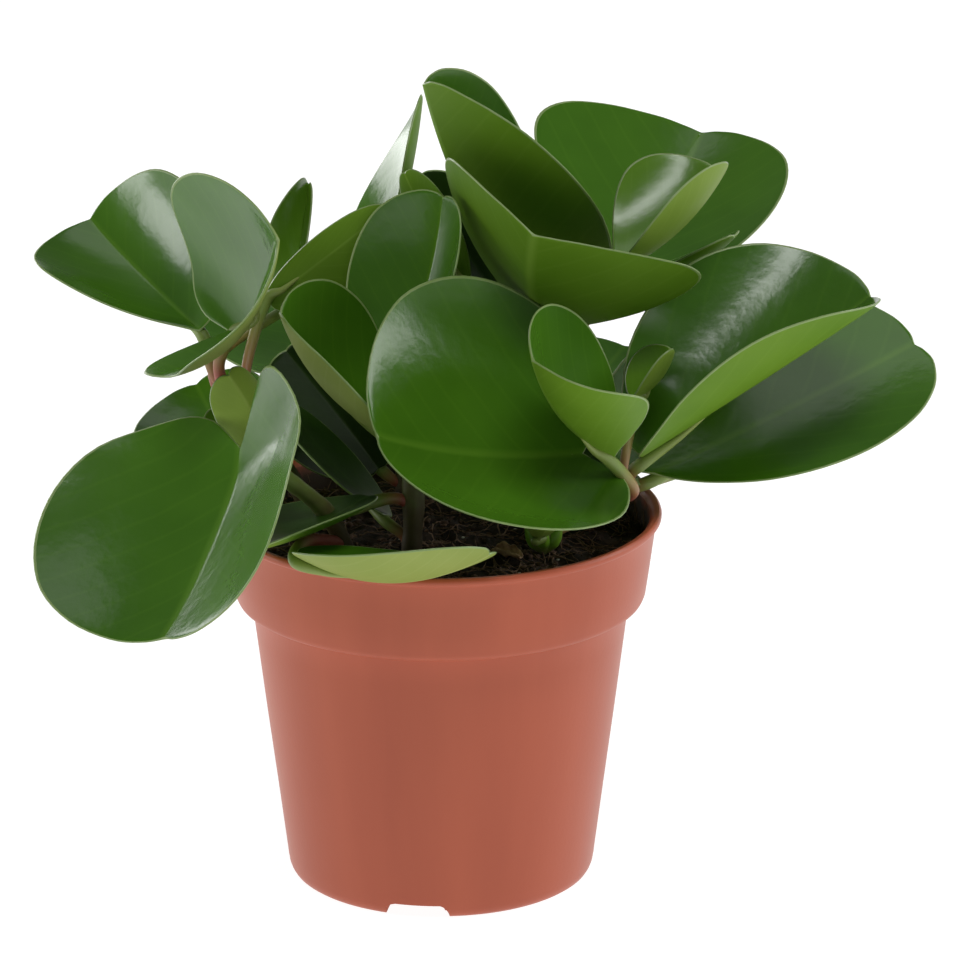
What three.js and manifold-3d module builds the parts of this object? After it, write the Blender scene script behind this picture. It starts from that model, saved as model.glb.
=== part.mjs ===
// A potted peperomia: a round-leaved house plant in a terracotta-coloured nursery pot.
// Millimetres, +Z up. The origin is the middle of the pot's underside and the front of the plant faces -Y.
import * as THREE from "three";
import { mergeVertices } from "three/addons/utils/BufferGeometryUtils.js";
import Module from "manifold-3d";

const wasm = await Module();
wasm.setup();

// Pot
const POT_HEIGHT = 103;
const RIM_RADIUS = 60;
const COLLAR_TOP_RADIUS = 58.6;
const COLLAR_FOOT_RADIUS = 55.8;
const COLLAR_FOOT_HEIGHT = 80.4;
const LEDGE_UNDERSIDE = 78.6;
const BODY_TOP_RADIUS = 51.2;
const BODY_TOP_HEIGHT = 77.2;
const BODY_FOOT_RADIUS = 41.8;
const WALL = 1.8;
const FLOOR_UNDERSIDE = 4;
const FLOOR_TOP = 6;
const FOOT_RING_INNER_RADIUS = 37.6;
const CENTRE_PAD_RADIUS = 8;
const POT_SIDES = 36;
const NOTCH_WIDTH = 17.5;
const NOTCH_HEIGHT = 3.8;
const NOTCH_SLANT = 1.6;
const NOTCH_COUNT = 3;
const FIRST_NOTCH_DEGREES = -98.7;
const DRAIN_HOLE_RADIUS = 3.5;
const DRAIN_HOLE_CIRCLE = 24;
const DRAIN_HOLE_COUNT = 6;

// Soil
const GAP = 0.3;
const SOIL_LEVEL = 94;
const SOIL_CROWN = 3.5;
const SOIL_BUMP = 1.1;
const SOIL_RINGS = [0.2, 0.4, 0.6, 0.8, 0.93];
const SOIL_SIDES = 28;

// Stems and leaves
const STEM_SIDES = 8;
const BLADE_THICKNESS = 1.0;
const BLADE_COLUMNS = 3;
const PETIOLE_SIDES = 5;
const PETIOLE_RADIUS = 1.6;
const KEEL_SHARE = 0.3;

// Colours
const TERRACOTTA = 0xa55a42;
const SOIL_BROWN = 0x241a12;
const STEM_BROWN = 0x5b4630;
const LEAF_GREEN = 0x2c5212;
const YOUNG_GREEN = 0x5c8a22;

function solidOf(geometry) {
  const bare = geometry.clone();
  for (const name of Object.keys(bare.attributes)) {
    if (name !== "position") bare.deleteAttribute(name);
  }
  const merged = mergeVertices(bare, 1e-3);
  return new wasm.Manifold(
    new wasm.Mesh({
      numProp: 3,
      vertProperties: new Float32Array(merged.attributes.position.array),
      triVerts: new Uint32Array(merged.index.array),
    }),
  );
}

function geometryOf(solid) {
  const mesh = solid.getMesh();
  const geometry = new THREE.BufferGeometry();
  geometry.setAttribute("position", new THREE.BufferAttribute(mesh.vertProperties, 3));
  geometry.setIndex(new THREE.BufferAttribute(mesh.triVerts, 1));
  geometry.computeVertexNormals();
  return geometry;
}

function part(name, geometry, color, roughness) {
  const material = new THREE.MeshStandardMaterial({ color, roughness, metalness: 0 });
  const mesh = new THREE.Mesh(geometry, material);
  mesh.name = name;
  return mesh;
}

// A closed tube through the points, with a radius at each, and flat ends.
function tube(points, radii, sides, stepsEach = 2) {
  const curve = new THREE.CatmullRomCurve3(points);
  const steps = (points.length - 1) * stepsEach;
  const frames = curve.computeFrenetFrames(steps, false);
  const position = [];
  for (let i = 0; i <= steps; i++) {
    const centre = curve.getPoint(i / steps);
    const share = i / stepsEach;
    const low = Math.min(Math.floor(share), radii.length - 2);
    const radius = THREE.MathUtils.lerp(radii[low], radii[low + 1], share - low);
    for (let k = 0; k < sides; k++) {
      const angle = (k / sides) * 2 * Math.PI;
      const spoke = frames.normals[i]
        .clone()
        .multiplyScalar(Math.cos(angle) * radius)
        .addScaledVector(frames.binormals[i], Math.sin(angle) * radius);
      position.push(...centre.clone().add(spoke).toArray());
    }
  }
  const index = [];
  for (let i = 0; i < steps; i++) {
    for (let k = 0; k < sides; k++) {
      const a = i * sides + k;
      const b = i * sides + ((k + 1) % sides);
      index.push(a, b, a + sides, b, b + sides, a + sides);
    }
  }
  for (let k = 1; k < sides - 1; k++) {
    const last = steps * sides;
    index.push(0, k + 1, k, last, last + k, last + k + 1);
  }
  const geometry = new THREE.BufferGeometry();
  geometry.setAttribute("position", new THREE.Float32BufferAttribute(position, 3));
  geometry.setIndex(index);
  return geometry;
}

// The pot is one moulding: a tapered body, a collar that steps out over it to a small lip, a foot ring with
// three notches, a raised floor with drain holes, and a pad in the middle that touches the table.
function makePot() {
  const inner = (radius) => radius - WALL;
  const profile = [
    [0, 0],
    [CENTRE_PAD_RADIUS, 0],
    [CENTRE_PAD_RADIUS + 0.6, FLOOR_UNDERSIDE],
    [FOOT_RING_INNER_RADIUS, FLOOR_UNDERSIDE],
    [FOOT_RING_INNER_RADIUS + 0.4, 0],
    [BODY_FOOT_RADIUS - 2.4, 0],
    [BODY_FOOT_RADIUS - 0.9, 0.7],
    [BODY_FOOT_RADIUS, 2.6],
    [BODY_TOP_RADIUS, BODY_TOP_HEIGHT],
    [BODY_TOP_RADIUS + 0.7, LEDGE_UNDERSIDE - 0.5],
    [COLLAR_FOOT_RADIUS - 0.5, LEDGE_UNDERSIDE + 0.4],
    [COLLAR_FOOT_RADIUS, COLLAR_FOOT_HEIGHT],
    [COLLAR_TOP_RADIUS, POT_HEIGHT - 2.6],
    [RIM_RADIUS - 0.3, POT_HEIGHT - 2],
    [RIM_RADIUS, POT_HEIGHT - 1],
    [RIM_RADIUS - 0.7, POT_HEIGHT],
    [inner(RIM_RADIUS) - 0.3, POT_HEIGHT],
    [inner(COLLAR_TOP_RADIUS), POT_HEIGHT - 1.4],
    [inner(COLLAR_FOOT_RADIUS), LEDGE_UNDERSIDE + 2.6],
    [inner(COLLAR_FOOT_RADIUS) - 0.6, LEDGE_UNDERSIDE + 2],
    [inner(BODY_TOP_RADIUS) + 0.2, LEDGE_UNDERSIDE + 1.3],
    [inner(BODY_FOOT_RADIUS) + 0.6, FLOOR_TOP + 2],
    [inner(BODY_FOOT_RADIUS) - 1.2, FLOOR_TOP],
    [0, FLOOR_TOP],
  ];
  let pot = solidOf(
    new THREE.LatheGeometry(
      profile.map(([radius, height]) => new THREE.Vector2(radius, height)),
      POT_SIDES,
    ).rotateX(Math.PI / 2),
  );
  const half = NOTCH_WIDTH / 2;
  const opening = new THREE.Shape([
    new THREE.Vector2(-half, -1),
    new THREE.Vector2(half, -1),
    new THREE.Vector2(half - NOTCH_SLANT, NOTCH_HEIGHT),
    new THREE.Vector2(NOTCH_SLANT - half, NOTCH_HEIGHT),
  ]);
  for (let i = 0; i < NOTCH_COUNT; i++) {
    const notch = new THREE.ExtrudeGeometry(opening, { depth: 12, bevelEnabled: false })
      .rotateX(Math.PI / 2)
      .translate(0, BODY_FOOT_RADIUS + 4, 0)
      .rotateZ(THREE.MathUtils.degToRad(FIRST_NOTCH_DEGREES - 90 + (i * 360) / NOTCH_COUNT));
    pot = pot.subtract(solidOf(notch));
  }
  for (let i = 0; i < DRAIN_HOLE_COUNT; i++) {
    const hole = new THREE.CylinderGeometry(DRAIN_HOLE_RADIUS, DRAIN_HOLE_RADIUS, 8, 12)
      .rotateX(Math.PI / 2)
      .translate(DRAIN_HOLE_CIRCLE, 0, (FLOOR_UNDERSIDE + FLOOR_TOP) / 2)
      .rotateZ(((i + 0.5) / DRAIN_HOLE_COUNT) * 2 * Math.PI);
    pot = pot.subtract(solidOf(hole));
  }
  return part("pot", geometryOf(pot), TERRACOTTA, 0.45);
}

// Each stem rises from a plain hole in the soil. A joint is a knuckle where leaf stalks grow.
const STEMS = {
  stem_centre: {
    axis: [[-7, -20, 82], [-7.5, -20, 97], [-7, -19, 112], [-9, -15, 128], [-11, -9, 142]],
    radii: [2.8, 2.7, 2.9, 2.2, 1.9],
  },
  stem_front_left: {
    axis: [[-24, -20, 82], [-25, -22, 97], [-30, -26, 110], [-40, -31, 121], [-47, -35, 127]],
    radii: [2.6, 2.5, 2.5, 2.2, 1.8],
  },
  stem_left: {
    axis: [[-33, 6, 82], [-34, 5, 97], [-43, 4, 114], [-53, 2, 127], [-58, 0, 136]],
    radii: [2.7, 2.6, 2.6, 2.3, 1.9],
  },
  stem_right: {
    axis: [[40, 6, 82], [42, 6, 96], [47, 3, 104], [51, 0, 109], [53, -1, 112]],
    radii: [2.7, 2.6, 2.6, 2.5, 2.3],
  },
  stem_back_right: {
    axis: [[18, 20, 82], [19, 21, 97], [25, 27, 116], [33, 32, 134], [39, 34, 148]],
    radii: [2.8, 2.7, 2.7, 2.3, 1.9],
  },
  stem_back: {
    axis: [[-10, 28, 82], [-10, 29, 97], [-11, 32, 116], [-12, 32, 136], [-13, 29, 154]],
    radii: [2.7, 2.6, 2.6, 2.2, 1.8],
  },
};

// Leaves. base and tip are the two ends of the midrib; face is the way the upper side looks;
// half is the width of the left and right half; fold lifts each half, in degrees, and twist adds to it
// from base to tip; curl is how far a half turns from midrib to margin; bow is how deep the midrib
// sags; heel is how steeply the base turns up towards the face; lobe is 1 for a heart-shaped base, 0 for
// a tapered one and more or less for a wider or narrower one; stalk is the point on the stem; knee is
// where the stalk bends.
const LEAVES = [
  {
    name: "leaf_front_centre", base: [38, -12, 122], tip: [-16, -44, 137], face: [0.47, -0.46, 0.75],
    half: [39, 49], fold: [25, 23], curl: [30, 30], bow: 4, stalk: [43, 5, 99],
  },
  {
    name: "leaf_left_outer", base: [-65, 10, 150], tip: [-97, 57, 168], face: [-0.3, -0.55, 0.76],
    half: [29, 29], fold: [44, 34], twist: [-20, 0], curl: [40, 40], bow: 3, lobe: [-0.3, 0.3],
    stalk: [-53, 2, 127], knee: [-61, 9, 138],
  },
  {
    name: "leaf_left_cupped", base: [-56.3, -5, 154.5], tip: [-41.8, -36, 188.5],
    face: [-0.95, -0.19, 0.25], half: [37, 31], fold: [47, 34], twist: [3, -28], curl: [34, 40],
    bow: 3, heel: 45, lobe: [0.65, 1.4], stalk: [-58, 0, 136],
  },
  {
    name: "leaf_front_left_hanging", base: [-52, -38, 132], tip: [-70, -88, 97],
    face: [-0.56, -0.33, 0.76], half: [43, 49], fold: [24, 25], twist: [-16, 0], curl: [30, 30],
    bow: 3, heel: [66, -25], lobe: [1.3, 1.15], stalk: [-47, -35, 127],
  },
  {
    name: "leaf_left_low_back", base: [-58, 15, 115], tip: [-68, 51, 122], face: [-0.3, -0.5, 0.81],
    half: [24, 18], fold: [14, 14], curl: [25, 25], bow: 4, columns: 2, stalk: [-43, 4, 114],
  },
  {
    name: "leaf_left_pale", base: [-45, -24, 127], tip: [-55.4, -29, 149.3], face: [-0.49, 0.87, -0.06],
    half: [10, 10], fold: [40, 40], curl: [30, 30], bow: 2, columns: 2, young: true,
    stalk: [-36, -28, 117],
  },
  {
    name: "leaf_left_bud", base: [-58, -18, 122.5], tip: [-59, -5, 132], face: [-0.05, -0.62, 0.79],
    half: [6, 6], fold: [40, 40], curl: [20, 20], bow: 1, columns: 2, young: true,
    stalk: [-40, -31, 121],
  },
  {
    name: "leaf_left_upright", base: [-41, 36, 151], tip: [-37, 63, 176],
    face: [-0.09, -0.57, 0.82], half: [12, 5], fold: [50, 60], twist: [80, 0], curl: [20, 20], bow: 2,
    lobe: 0, columns: 2, stalk: [-47, 3, 118], knee: [-62, 18, 137],
  },
  {
    name: "leaf_left_back", base: [-47.1, 30, 152.8], tip: [-15, 24, 179.7], face: [0.21, 0.98, 0.02],
    half: [16, 6], fold: [14, 14], curl: [20, 20], bow: 2, lobe: 0.3, stalk: [-52, 2, 126],
  },
  {
    name: "leaf_centre_upright", base: [-9, 6, 146], tip: [1, 18, 185], face: [-0.45, -0.75, 0.5],
    half: [22, 15], fold: [25, 35], curl: [30, 30], bow: 3, lobe: [1, 0.2], stalk: [-11, -9, 142],
  },
  {
    name: "leaf_centre_narrow", base: [8, 25, 157.1], tip: [-9.6, 30, 188.4],
    face: [0.17, 0.98, -0.04], half: [7, 5], fold: [20, 20], curl: [20, 20], bow: 3, lobe: 0,
    columns: 2, stalk: [-12, 32, 130],
  },
  {
    name: "leaf_centre_shaded", base: [16.2, 50, 146.9], tip: [-6.7, 62, 178],
    face: [-0.14, -0.85, 0.5], half: [15, 13], fold: [15, 15], curl: [20, 20], bow: 3, lobe: 0.2,
    columns: 2, stalk: [-12, 32, 136],
  },
  {
    name: "leaf_top_folded", base: [-12.9, 46, 166.7], tip: [-5.6, 66, 199.8],
    face: [-0.87, -0.18, 0.45], half: [20, 12], fold: [10, 30], twist: [-34, 0], curl: [20, 20],
    bow: 1, lobe: [1.6, 0.5], stalk: [-13, 29, 154],
  },
  {
    name: "leaf_top_large", base: [14, 50, 161.3], tip: [-4.4, 34, 212.5], face: [0.8, 0.25, 0.55],
    half: [40, 22], fold: [36, 90], twist: [-20, 5], curl: [20, 20], bow: 2, lobe: [1.9, 1.2],
    stalk: [35, 33, 140], knee: [27, 42, 146],
  },
  {
    name: "leaf_centre_folded", base: [29, 27, 145], tip: [25, -12, 183], face: [0.62, 0.53, 0.57],
    half: [46, 44], fold: [36, 20], curl: [30, 30], bow: 4, lobe: [-0.75, 0.1], stalk: [30, 30, 127],
  },
  {
    name: "leaf_upper_right", base: [51, 68, 151.5], tip: [74, 118, 176.5], face: [-0.31, -0.35, 0.88],
    half: [44, 37], fold: [36, 4], curl: [25, 25], bow: 2, lobe: [-0.2, 1], stalk: [29, 29.5, 124],
    knee: [40, 45, 143],
  },
  {
    name: "leaf_right_young", base: [45, 10, 166], tip: [76.2, 33, 187.9], face: [-0.59, 0.01, 0.8],
    half: [23, 22], fold: [58, 35], curl: [50, 50], bow: 4, lobe: [-0.4, 0.3], young: true,
    stalk: [39, 34, 148], knee: [43, 20, 153],
  },
  {
    name: "leaf_right_edge", base: [51, 49, 151.5], tip: [80, 38, 168.5], face: [-0.3, 0.2, 0.9],
    half: [13, 13], fold: [15, 15], curl: [20, 20], bow: 3, columns: 2, stalk: [37, 33, 143],
    knee: [44, 42, 150],
  },
  {
    name: "leaf_right_upper", base: [54, -4, 119], tip: [116, 11, 159], face: [-0.61, -0.12, 0.79],
    half: [39, 42], fold: [50, 34], twist: [-20, -16], curl: [40, 40], bow: 1, lobe: [0.3, 0.3],
    stalk: [51, 0, 109],
  },
  {
    name: "leaf_right_lower", base: [58, -1, 113], tip: [129.7, 33, 139.1], face: [-0.19, -0.45, 0.87],
    half: [46, 31], fold: [8, 8], curl: [16, 16], bow: 1, lobe: [0.9, 0], stalk: [47, 3, 104],
  },
  {
    name: "leaf_right_cupped", base: [46.5, -20.5, 124.2], tip: [24.7, -45, 158.3],
    face: [0.73, 0.16, 0.66], half: [27, 31], fold: [52, 44], twist: [-50, -10], curl: [40, 40],
    bow: 4, lobe: [-0.2, 0.6], stalk: [47, 2.5, 104], knee: [52, -12, 112],
  },
  {
    name: "leaf_right_bud", base: [52, -9, 136.9], tip: [62.5, -4, 148.3], face: [-0.78, -0.1, 0.61],
    half: [11, 9], fold: [40, 40], curl: [30, 30], bow: 2, lobe: 0.3, columns: 2, young: true,
    stalk: [50, 0.5, 107], knee: [49.2, -9, 116.5],
  },
  {
    name: "leaf_centre_cupped", base: [-17, -9, 130], tip: [-42, -17, 163], face: [0.79, -0.2, 0.58],
    half: [28, 26], fold: [34, 34], curl: [40, 40], bow: 4, lobe: [1, 0.5], stalk: [-8, -17, 120],
  },
  {
    name: "leaf_front_rim", base: [-37, -56, 108.5], tip: [13, -68, 113], face: [-0.03, 0.36, 0.93],
    half: [22, 22], fold: [22, 17], twist: [-25, 0], curl: [20, 20], bow: 7, lobe: 0.3,
    stalk: [-26, -23, 101],
  },
  {
    name: "leaf_front_left_low", base: [-19, -24, 114], tip: [-54, -50, 107],
    face: [-0.31, 0.06, 0.95], half: [21, 21], fold: [14, 14], curl: [20, 20], bow: 2, lobe: 0.3,
    columns: 2, stalk: [-7, -19, 110],
  },
  {
    name: "leaf_front_diagonal", base: [-14, -16, 106], tip: [-43, 18, 128], face: [0.59, 0, 0.8],
    half: [16, 14], fold: [8, 8], curl: [20, 20], bow: 2, lobe: 0.2, columns: 2,
    stalk: [-7.5, -20, 98],
  },
  {
    name: "leaf_inner_left", base: [-17.3, 28.5, 105], tip: [-42.1, 22.5, 140.7],
    face: [-0.25, -0.9, 0.35], half: [18.5, 17], fold: [31, 8], curl: [16, 16], bow: 2, lobe: 0.3,
    columns: 2, stalk: [-10.5, 29.5, 100],
  },
  {
    name: "leaf_soil_young", base: [26, -25, 103], tip: [29, -33, 110], face: [0, 0.6, 0.8],
    half: [5, 5], fold: [30, 30], curl: [30, 30], bow: 1, lobe: 0, columns: 2, young: true,
    stalk: [41, 6, 98], knee: [35, -10, 101],
  },
  {
    name: "leaf_back_left", base: [-32, 48, 130], tip: [-52, 92, 140], face: [-0.2, -0.2, 0.96],
    half: [26, 26], fold: [14, 14], curl: [25, 25], bow: 3, columns: 2, stalk: [-12, 32, 122],
  },
  {
    name: "leaf_back_centre", base: [-4, 60, 128], tip: [-6, 108, 134], face: [0, -0.15, 0.99],
    half: [30, 30], fold: [16, 16], curl: [25, 25], bow: 3, columns: 2, stalk: [-11, 32, 118],
  },
  {
    name: "leaf_back_right", base: [34, 60, 117], tip: [52, 104, 117], face: [0.1, -0.05, 0.99],
    half: [27, 27], fold: [12, 12], curl: [25, 25], bow: 3, columns: 2, stalk: [26, 28, 118],
  },
  {
    name: "leaf_back_left_low", base: [-28, 46, 112], tip: [-46, 80, 106], face: [-0.2, 0.1, 0.97],
    half: [21, 21], fold: [12, 12], curl: [20, 20], bow: 3, columns: 2, stalk: [-10, 29, 104],
  },
  {
    name: "leaf_back_low", base: [6, 48, 112], tip: [10, 86, 105], face: [0, 0.1, 0.99],
    half: [20, 20], fold: [12, 12], curl: [20, 20], bow: 3, columns: 2, stalk: [-10, 30, 108],
  },
  {
    name: "leaf_back_right_low", base: [40.4, 24, 105.4], tip: [45.3, 32, 125.3],
    face: [0.1, -0.9, 0.4], half: [13, 13], fold: [12, 12], curl: [20, 20], bow: 3, lobe: 0.6,
    columns: 2, stalk: [21, 23, 106],
  },
  {
    name: "leaf_right_back_side", base: [66, 22, 108], tip: [96, 51, 110], face: [0, 0, 1],
    half: [20, 20], fold: [14, 14], curl: [20, 20], bow: 3, columns: 2, stalk: [43, 5.5, 99],
  },
];

const WEDGE_OUTLINE = [
  [0, 0], [0.04, 0.16], [0.13, 0.42], [0.28, 0.74], [0.46, 0.95], [0.63, 1],
  [0.8, 0.88], [0.93, 0.62], [1, 0.32], [1.01, 0.12], [1, 0],
];
const HEART_OUTLINE = [
  [0, 0], [-0.1, 0.2], [-0.09, 0.45], [0.05, 0.77], [0.3, 0.97], [0.55, 1],
  [0.78, 0.87], [0.93, 0.62], [1.01, 0.32], [1.02, 0.12], [1, 0],
];
const RIB_STATIONS = [0, 0.05, 0.12, 0.24, 0.38, 0.55, 0.72, 0.85, 0.94, 0.975, 1];
const HEEL_FADE = 6;

function pair(value, otherwise) {
  const chosen = value ?? otherwise;
  return Array.isArray(chosen) ? chosen : [chosen, chosen];
}

// The blade's middle surface at a share of the way along the midrib and across one half.
function bladeSurface(leaf) {
  const base = new THREE.Vector3(...leaf.base);
  const along = new THREE.Vector3(...leaf.tip).sub(base);
  const forward = along.clone().normalize();
  const up = new THREE.Vector3(...leaf.face);
  up.addScaledVector(forward, -up.dot(forward)).normalize();
  const right = forward.clone().cross(up);
  const twist = pair(leaf.twist, 0);
  const heels = pair(leaf.heel, 0);
  const point = (share, across, side) => {
    const k = side < 0 ? 0 : 1;
    const turn = twist[k] * (THREE.MathUtils.clamp(share, -0.1, 1.05) - 0.5);
    const curl = THREE.MathUtils.degToRad(leaf.curl[k]);
    const start = THREE.MathUtils.degToRad(leaf.fold[k] + turn) - curl / 2;
    const out = (Math.sin(start + curl * across) - Math.sin(start)) / curl;
    const lift = (Math.cos(start) - Math.cos(start + curl * across)) / curl;
    const heel = THREE.MathUtils.lerp((heels[0] + heels[1]) / 2, heels[k], across);
    const turnedUp = heel * share * (1 - Math.max(share, 0)) ** HEEL_FADE;
    const sag = leaf.bow * 4 * share * (1 - share) + turnedUp;
    return base
      .clone()
      .addScaledVector(along, share)
      .addScaledVector(up, leaf.half[k] * lift - sag)
      .addScaledVector(right, side * leaf.half[k] * out);
  };
  return { base, forward, up, point };
}

// The blade as a closed sheet of even thickness, with the same triangles on both faces.
function bladeGeometry(leaf, surface) {
  const lobes = pair(leaf.lobe, 1);
  const columns = leaf.columns ?? BLADE_COLUMNS;
  const rows = RIB_STATIONS.length;
  const STEP = 1e-3;
  const upper = [];
  const lower = [];
  const seen = new Map();
  const vertex = (row, column, side) => {
    const onRib = column === 0 || row === 0 || row === rows - 1;
    const key = onRib ? `${row}` : `${row},${column},${side}`;
    if (seen.has(key)) return seen.get(key);
    const lobe = lobes[side < 0 ? 0 : 1];
    const [edgeShare, edgeAcross] = [0, 1].map((axis) =>
      THREE.MathUtils.lerp(WEDGE_OUTLINE[row][axis], HEART_OUTLINE[row][axis], lobe),
    );
    const t = onRib ? 0 : column / columns;
    const share = THREE.MathUtils.lerp(RIB_STATIONS[row], edgeShare, t);
    const across = edgeAcross * t;
    const middle = surface.point(share, across, side);
    const alongStep = surface
      .point(share + STEP, across, side)
      .sub(surface.point(share - STEP, across, side));
    const normal = surface.up.clone();
    if (onRib) {
      normal.addScaledVector(alongStep, -normal.dot(alongStep) / alongStep.lengthSq()).normalize();
    } else {
      const acrossStep = surface
        .point(share, across + STEP, side)
        .sub(surface.point(share, across - STEP, side));
      normal.copy(acrossStep.cross(alongStep).multiplyScalar(side)).normalize();
    }
    upper.push(middle.clone().addScaledVector(normal, BLADE_THICKNESS / 2));
    lower.push(middle.clone().addScaledVector(normal, -BLADE_THICKNESS / 2));
    seen.set(key, upper.length - 1);
    return upper.length - 1;
  };
  const faces = [];
  for (const side of [1, -1]) {
    for (let row = 0; row < rows - 1; row++) {
      for (let column = 0; column < columns; column++) {
        const corners = [
          vertex(row, column, side),
          vertex(row, column + 1, side),
          vertex(row + 1, column + 1, side),
          vertex(row + 1, column, side),
        ];
        if (side < 0) corners.reverse();
        faces.push([corners[0], corners[1], corners[2]], [corners[0], corners[2], corners[3]]);
      }
    }
  }
  const rim = [];
  for (let row = 0; row < rows; row++) rim.push(vertex(row, columns, 1));
  for (let row = rows - 2; row > 0; row--) rim.push(vertex(row, columns, -1));
  const count = upper.length;
  const index = [];
  for (const [a, b, c] of faces) {
    if (a === b || b === c || c === a) continue;
    index.push(a, b, c, a + count, c + count, b + count);
  }
  rim.forEach((a, i) => {
    const b = rim[(i + 1) % rim.length];
    index.push(a, a + count, b, b, a + count, b + count);
  });
  const geometry = new THREE.BufferGeometry();
  geometry.setAttribute(
    "position",
    new THREE.Float32BufferAttribute([...upper, ...lower].flatMap((p) => p.toArray()), 3),
  );
  geometry.setIndex(index);
  return geometry;
}

// The stalk leaves the stem, bends into line with the midrib and runs on below it as a keel.
function stalkGeometry(leaf, surface) {
  const start = new THREE.Vector3(...leaf.stalk);
  const size = Math.min(1, leaf.half[0] / 22);
  const reach = start.distanceTo(surface.base);
  const radius = PETIOLE_RADIUS * (0.55 + 0.45 * size);
  const entry = surface.point(0.02, 0, 1).sub(surface.base).normalize();
  const knee = leaf.knee
    ? new THREE.Vector3(...leaf.knee)
    : start.clone().lerp(surface.base, 0.5).addScaledVector(entry, -0.12 * reach);
  const points = [
    start,
    knee,
    surface.base.clone().addScaledVector(entry, -0.5),
    surface.point(KEEL_SHARE / 2, 0, 1).addScaledVector(surface.up, -0.3),
    surface.point(KEEL_SHARE, 0, 1),
  ];
  return tube(points, [radius * 1.1, radius, radius, radius * 0.6, 0.35], PETIOLE_SIDES, 1);
}

// A stem with the room that its neighbours leave round it.
function makeStem([name, { axis, radii }]) {
  const points = axis.map((p) => new THREE.Vector3(...p));
  const roomPoints = points.map((p) => p.clone());
  roomPoints[0].addScaledVector(points[1].clone().sub(points[0]).normalize(), -GAP);
  const last = points.length - 1;
  roomPoints[last].addScaledVector(points[last].clone().sub(points[last - 1]).normalize(), GAP);
  const clearance = solidOf(tube(roomPoints, radii.map((radius) => radius + GAP + 0.1), STEM_SIDES));
  return { clearance, mesh: part(name, tube(points, radii, STEM_SIDES), STEM_BROWN, 0.7) };
}

// Potting soil fills the pot to below the rim, a little higher in the middle, with a lumpy top.
function makeSoil(stems) {
  const bump = (x, y) =>
    SOIL_BUMP * (Math.sin(x * 0.31 + 1.3) * Math.cos(y * 0.27) + 0.6 * Math.sin(x * 0.13 - y * 0.52));
  const topRadius = COLLAR_FOOT_RADIUS - WALL - GAP
    + ((COLLAR_TOP_RADIUS - COLLAR_FOOT_RADIUS) * (SOIL_LEVEL - COLLAR_FOOT_HEIGHT))
    / (POT_HEIGHT - COLLAR_FOOT_HEIGHT);
  const walls = [
    [BODY_FOOT_RADIUS - WALL - 1.6 - GAP, FLOOR_TOP + GAP],
    [BODY_FOOT_RADIUS - WALL + 0.2 - GAP, FLOOR_TOP + 2.2],
    [BODY_TOP_RADIUS - WALL - 0.4 - GAP, LEDGE_UNDERSIDE + 1.6],
    [COLLAR_FOOT_RADIUS - WALL - 0.7 - GAP, LEDGE_UNDERSIDE + 2.7],
    [topRadius - 0.4, SOIL_LEVEL],
  ];
  const position = [];
  const addRing = (radius, height) => {
    for (let k = 0; k < SOIL_SIDES; k++) {
      const angle = (k / SOIL_SIDES) * 2 * Math.PI;
      const x = radius * Math.cos(angle);
      const y = radius * Math.sin(angle);
      position.push(x, y, height(x, y));
    }
  };
  for (const [radius, height] of walls) addRing(radius, () => height);
  [...SOIL_RINGS].reverse().forEach((share) => {
    const crown = SOIL_LEVEL + SOIL_CROWN * (1 - share * share);
    addRing(topRadius * share, (x, y) => crown + bump(x, y));
  });
  const ringCount = position.length / 3 / SOIL_SIDES;
  const bottomCentre = position.length / 3;
  position.push(0, 0, FLOOR_TOP + GAP);
  position.push(0, 0, SOIL_LEVEL + SOIL_CROWN + bump(0, 0));
  const index = [];
  for (let k = 0; k < SOIL_SIDES; k++) {
    const next = (k + 1) % SOIL_SIDES;
    for (let ring = 0; ring < ringCount - 1; ring++) {
      const a = ring * SOIL_SIDES + k;
      const b = ring * SOIL_SIDES + next;
      index.push(a, b, b + SOIL_SIDES, a, b + SOIL_SIDES, a + SOIL_SIDES);
    }
    const last = (ringCount - 1) * SOIL_SIDES;
    index.push(bottomCentre, next, k, bottomCentre + 1, last + k, last + next);
  }
  const geometry = new THREE.BufferGeometry();
  geometry.setAttribute("position", new THREE.Float32BufferAttribute(position, 3));
  geometry.setIndex(index);
  let soil = solidOf(geometry);
  for (const stem of stems) soil = soil.subtract(stem.clearance);
  return part("soil", geometryOf(soil), SOIL_BROWN, 0.95);
}

const plant = new THREE.Group();
plant.add(makePot());
const stems = Object.entries(STEMS).map(makeStem);
plant.add(makeSoil(stems));
for (const stem of stems) plant.add(stem.mesh);
for (const leaf of LEAVES) {
  const surface = bladeSurface(leaf);
  let solid = solidOf(bladeGeometry(leaf, surface)).add(solidOf(stalkGeometry(leaf, surface)));
  for (const stem of stems) solid = solid.subtract(stem.clearance);
  solid = solid.decompose().sort((a, b) => b.volume() - a.volume())[0];
  plant.add(part(leaf.name, geometryOf(solid), leaf.young ? YOUNG_GREEN : LEAF_GREEN, 0.35));
}

export default plant;
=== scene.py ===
# A potted peperomia: a round-leaved house plant in a terracotta-coloured nursery pot.
# Metres, +Z up. The origin is the middle of the pot's underside and the front of the plant faces -Y.
import math
import random
from collections import namedtuple

import bmesh
import bpy
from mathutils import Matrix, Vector, noise


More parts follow.
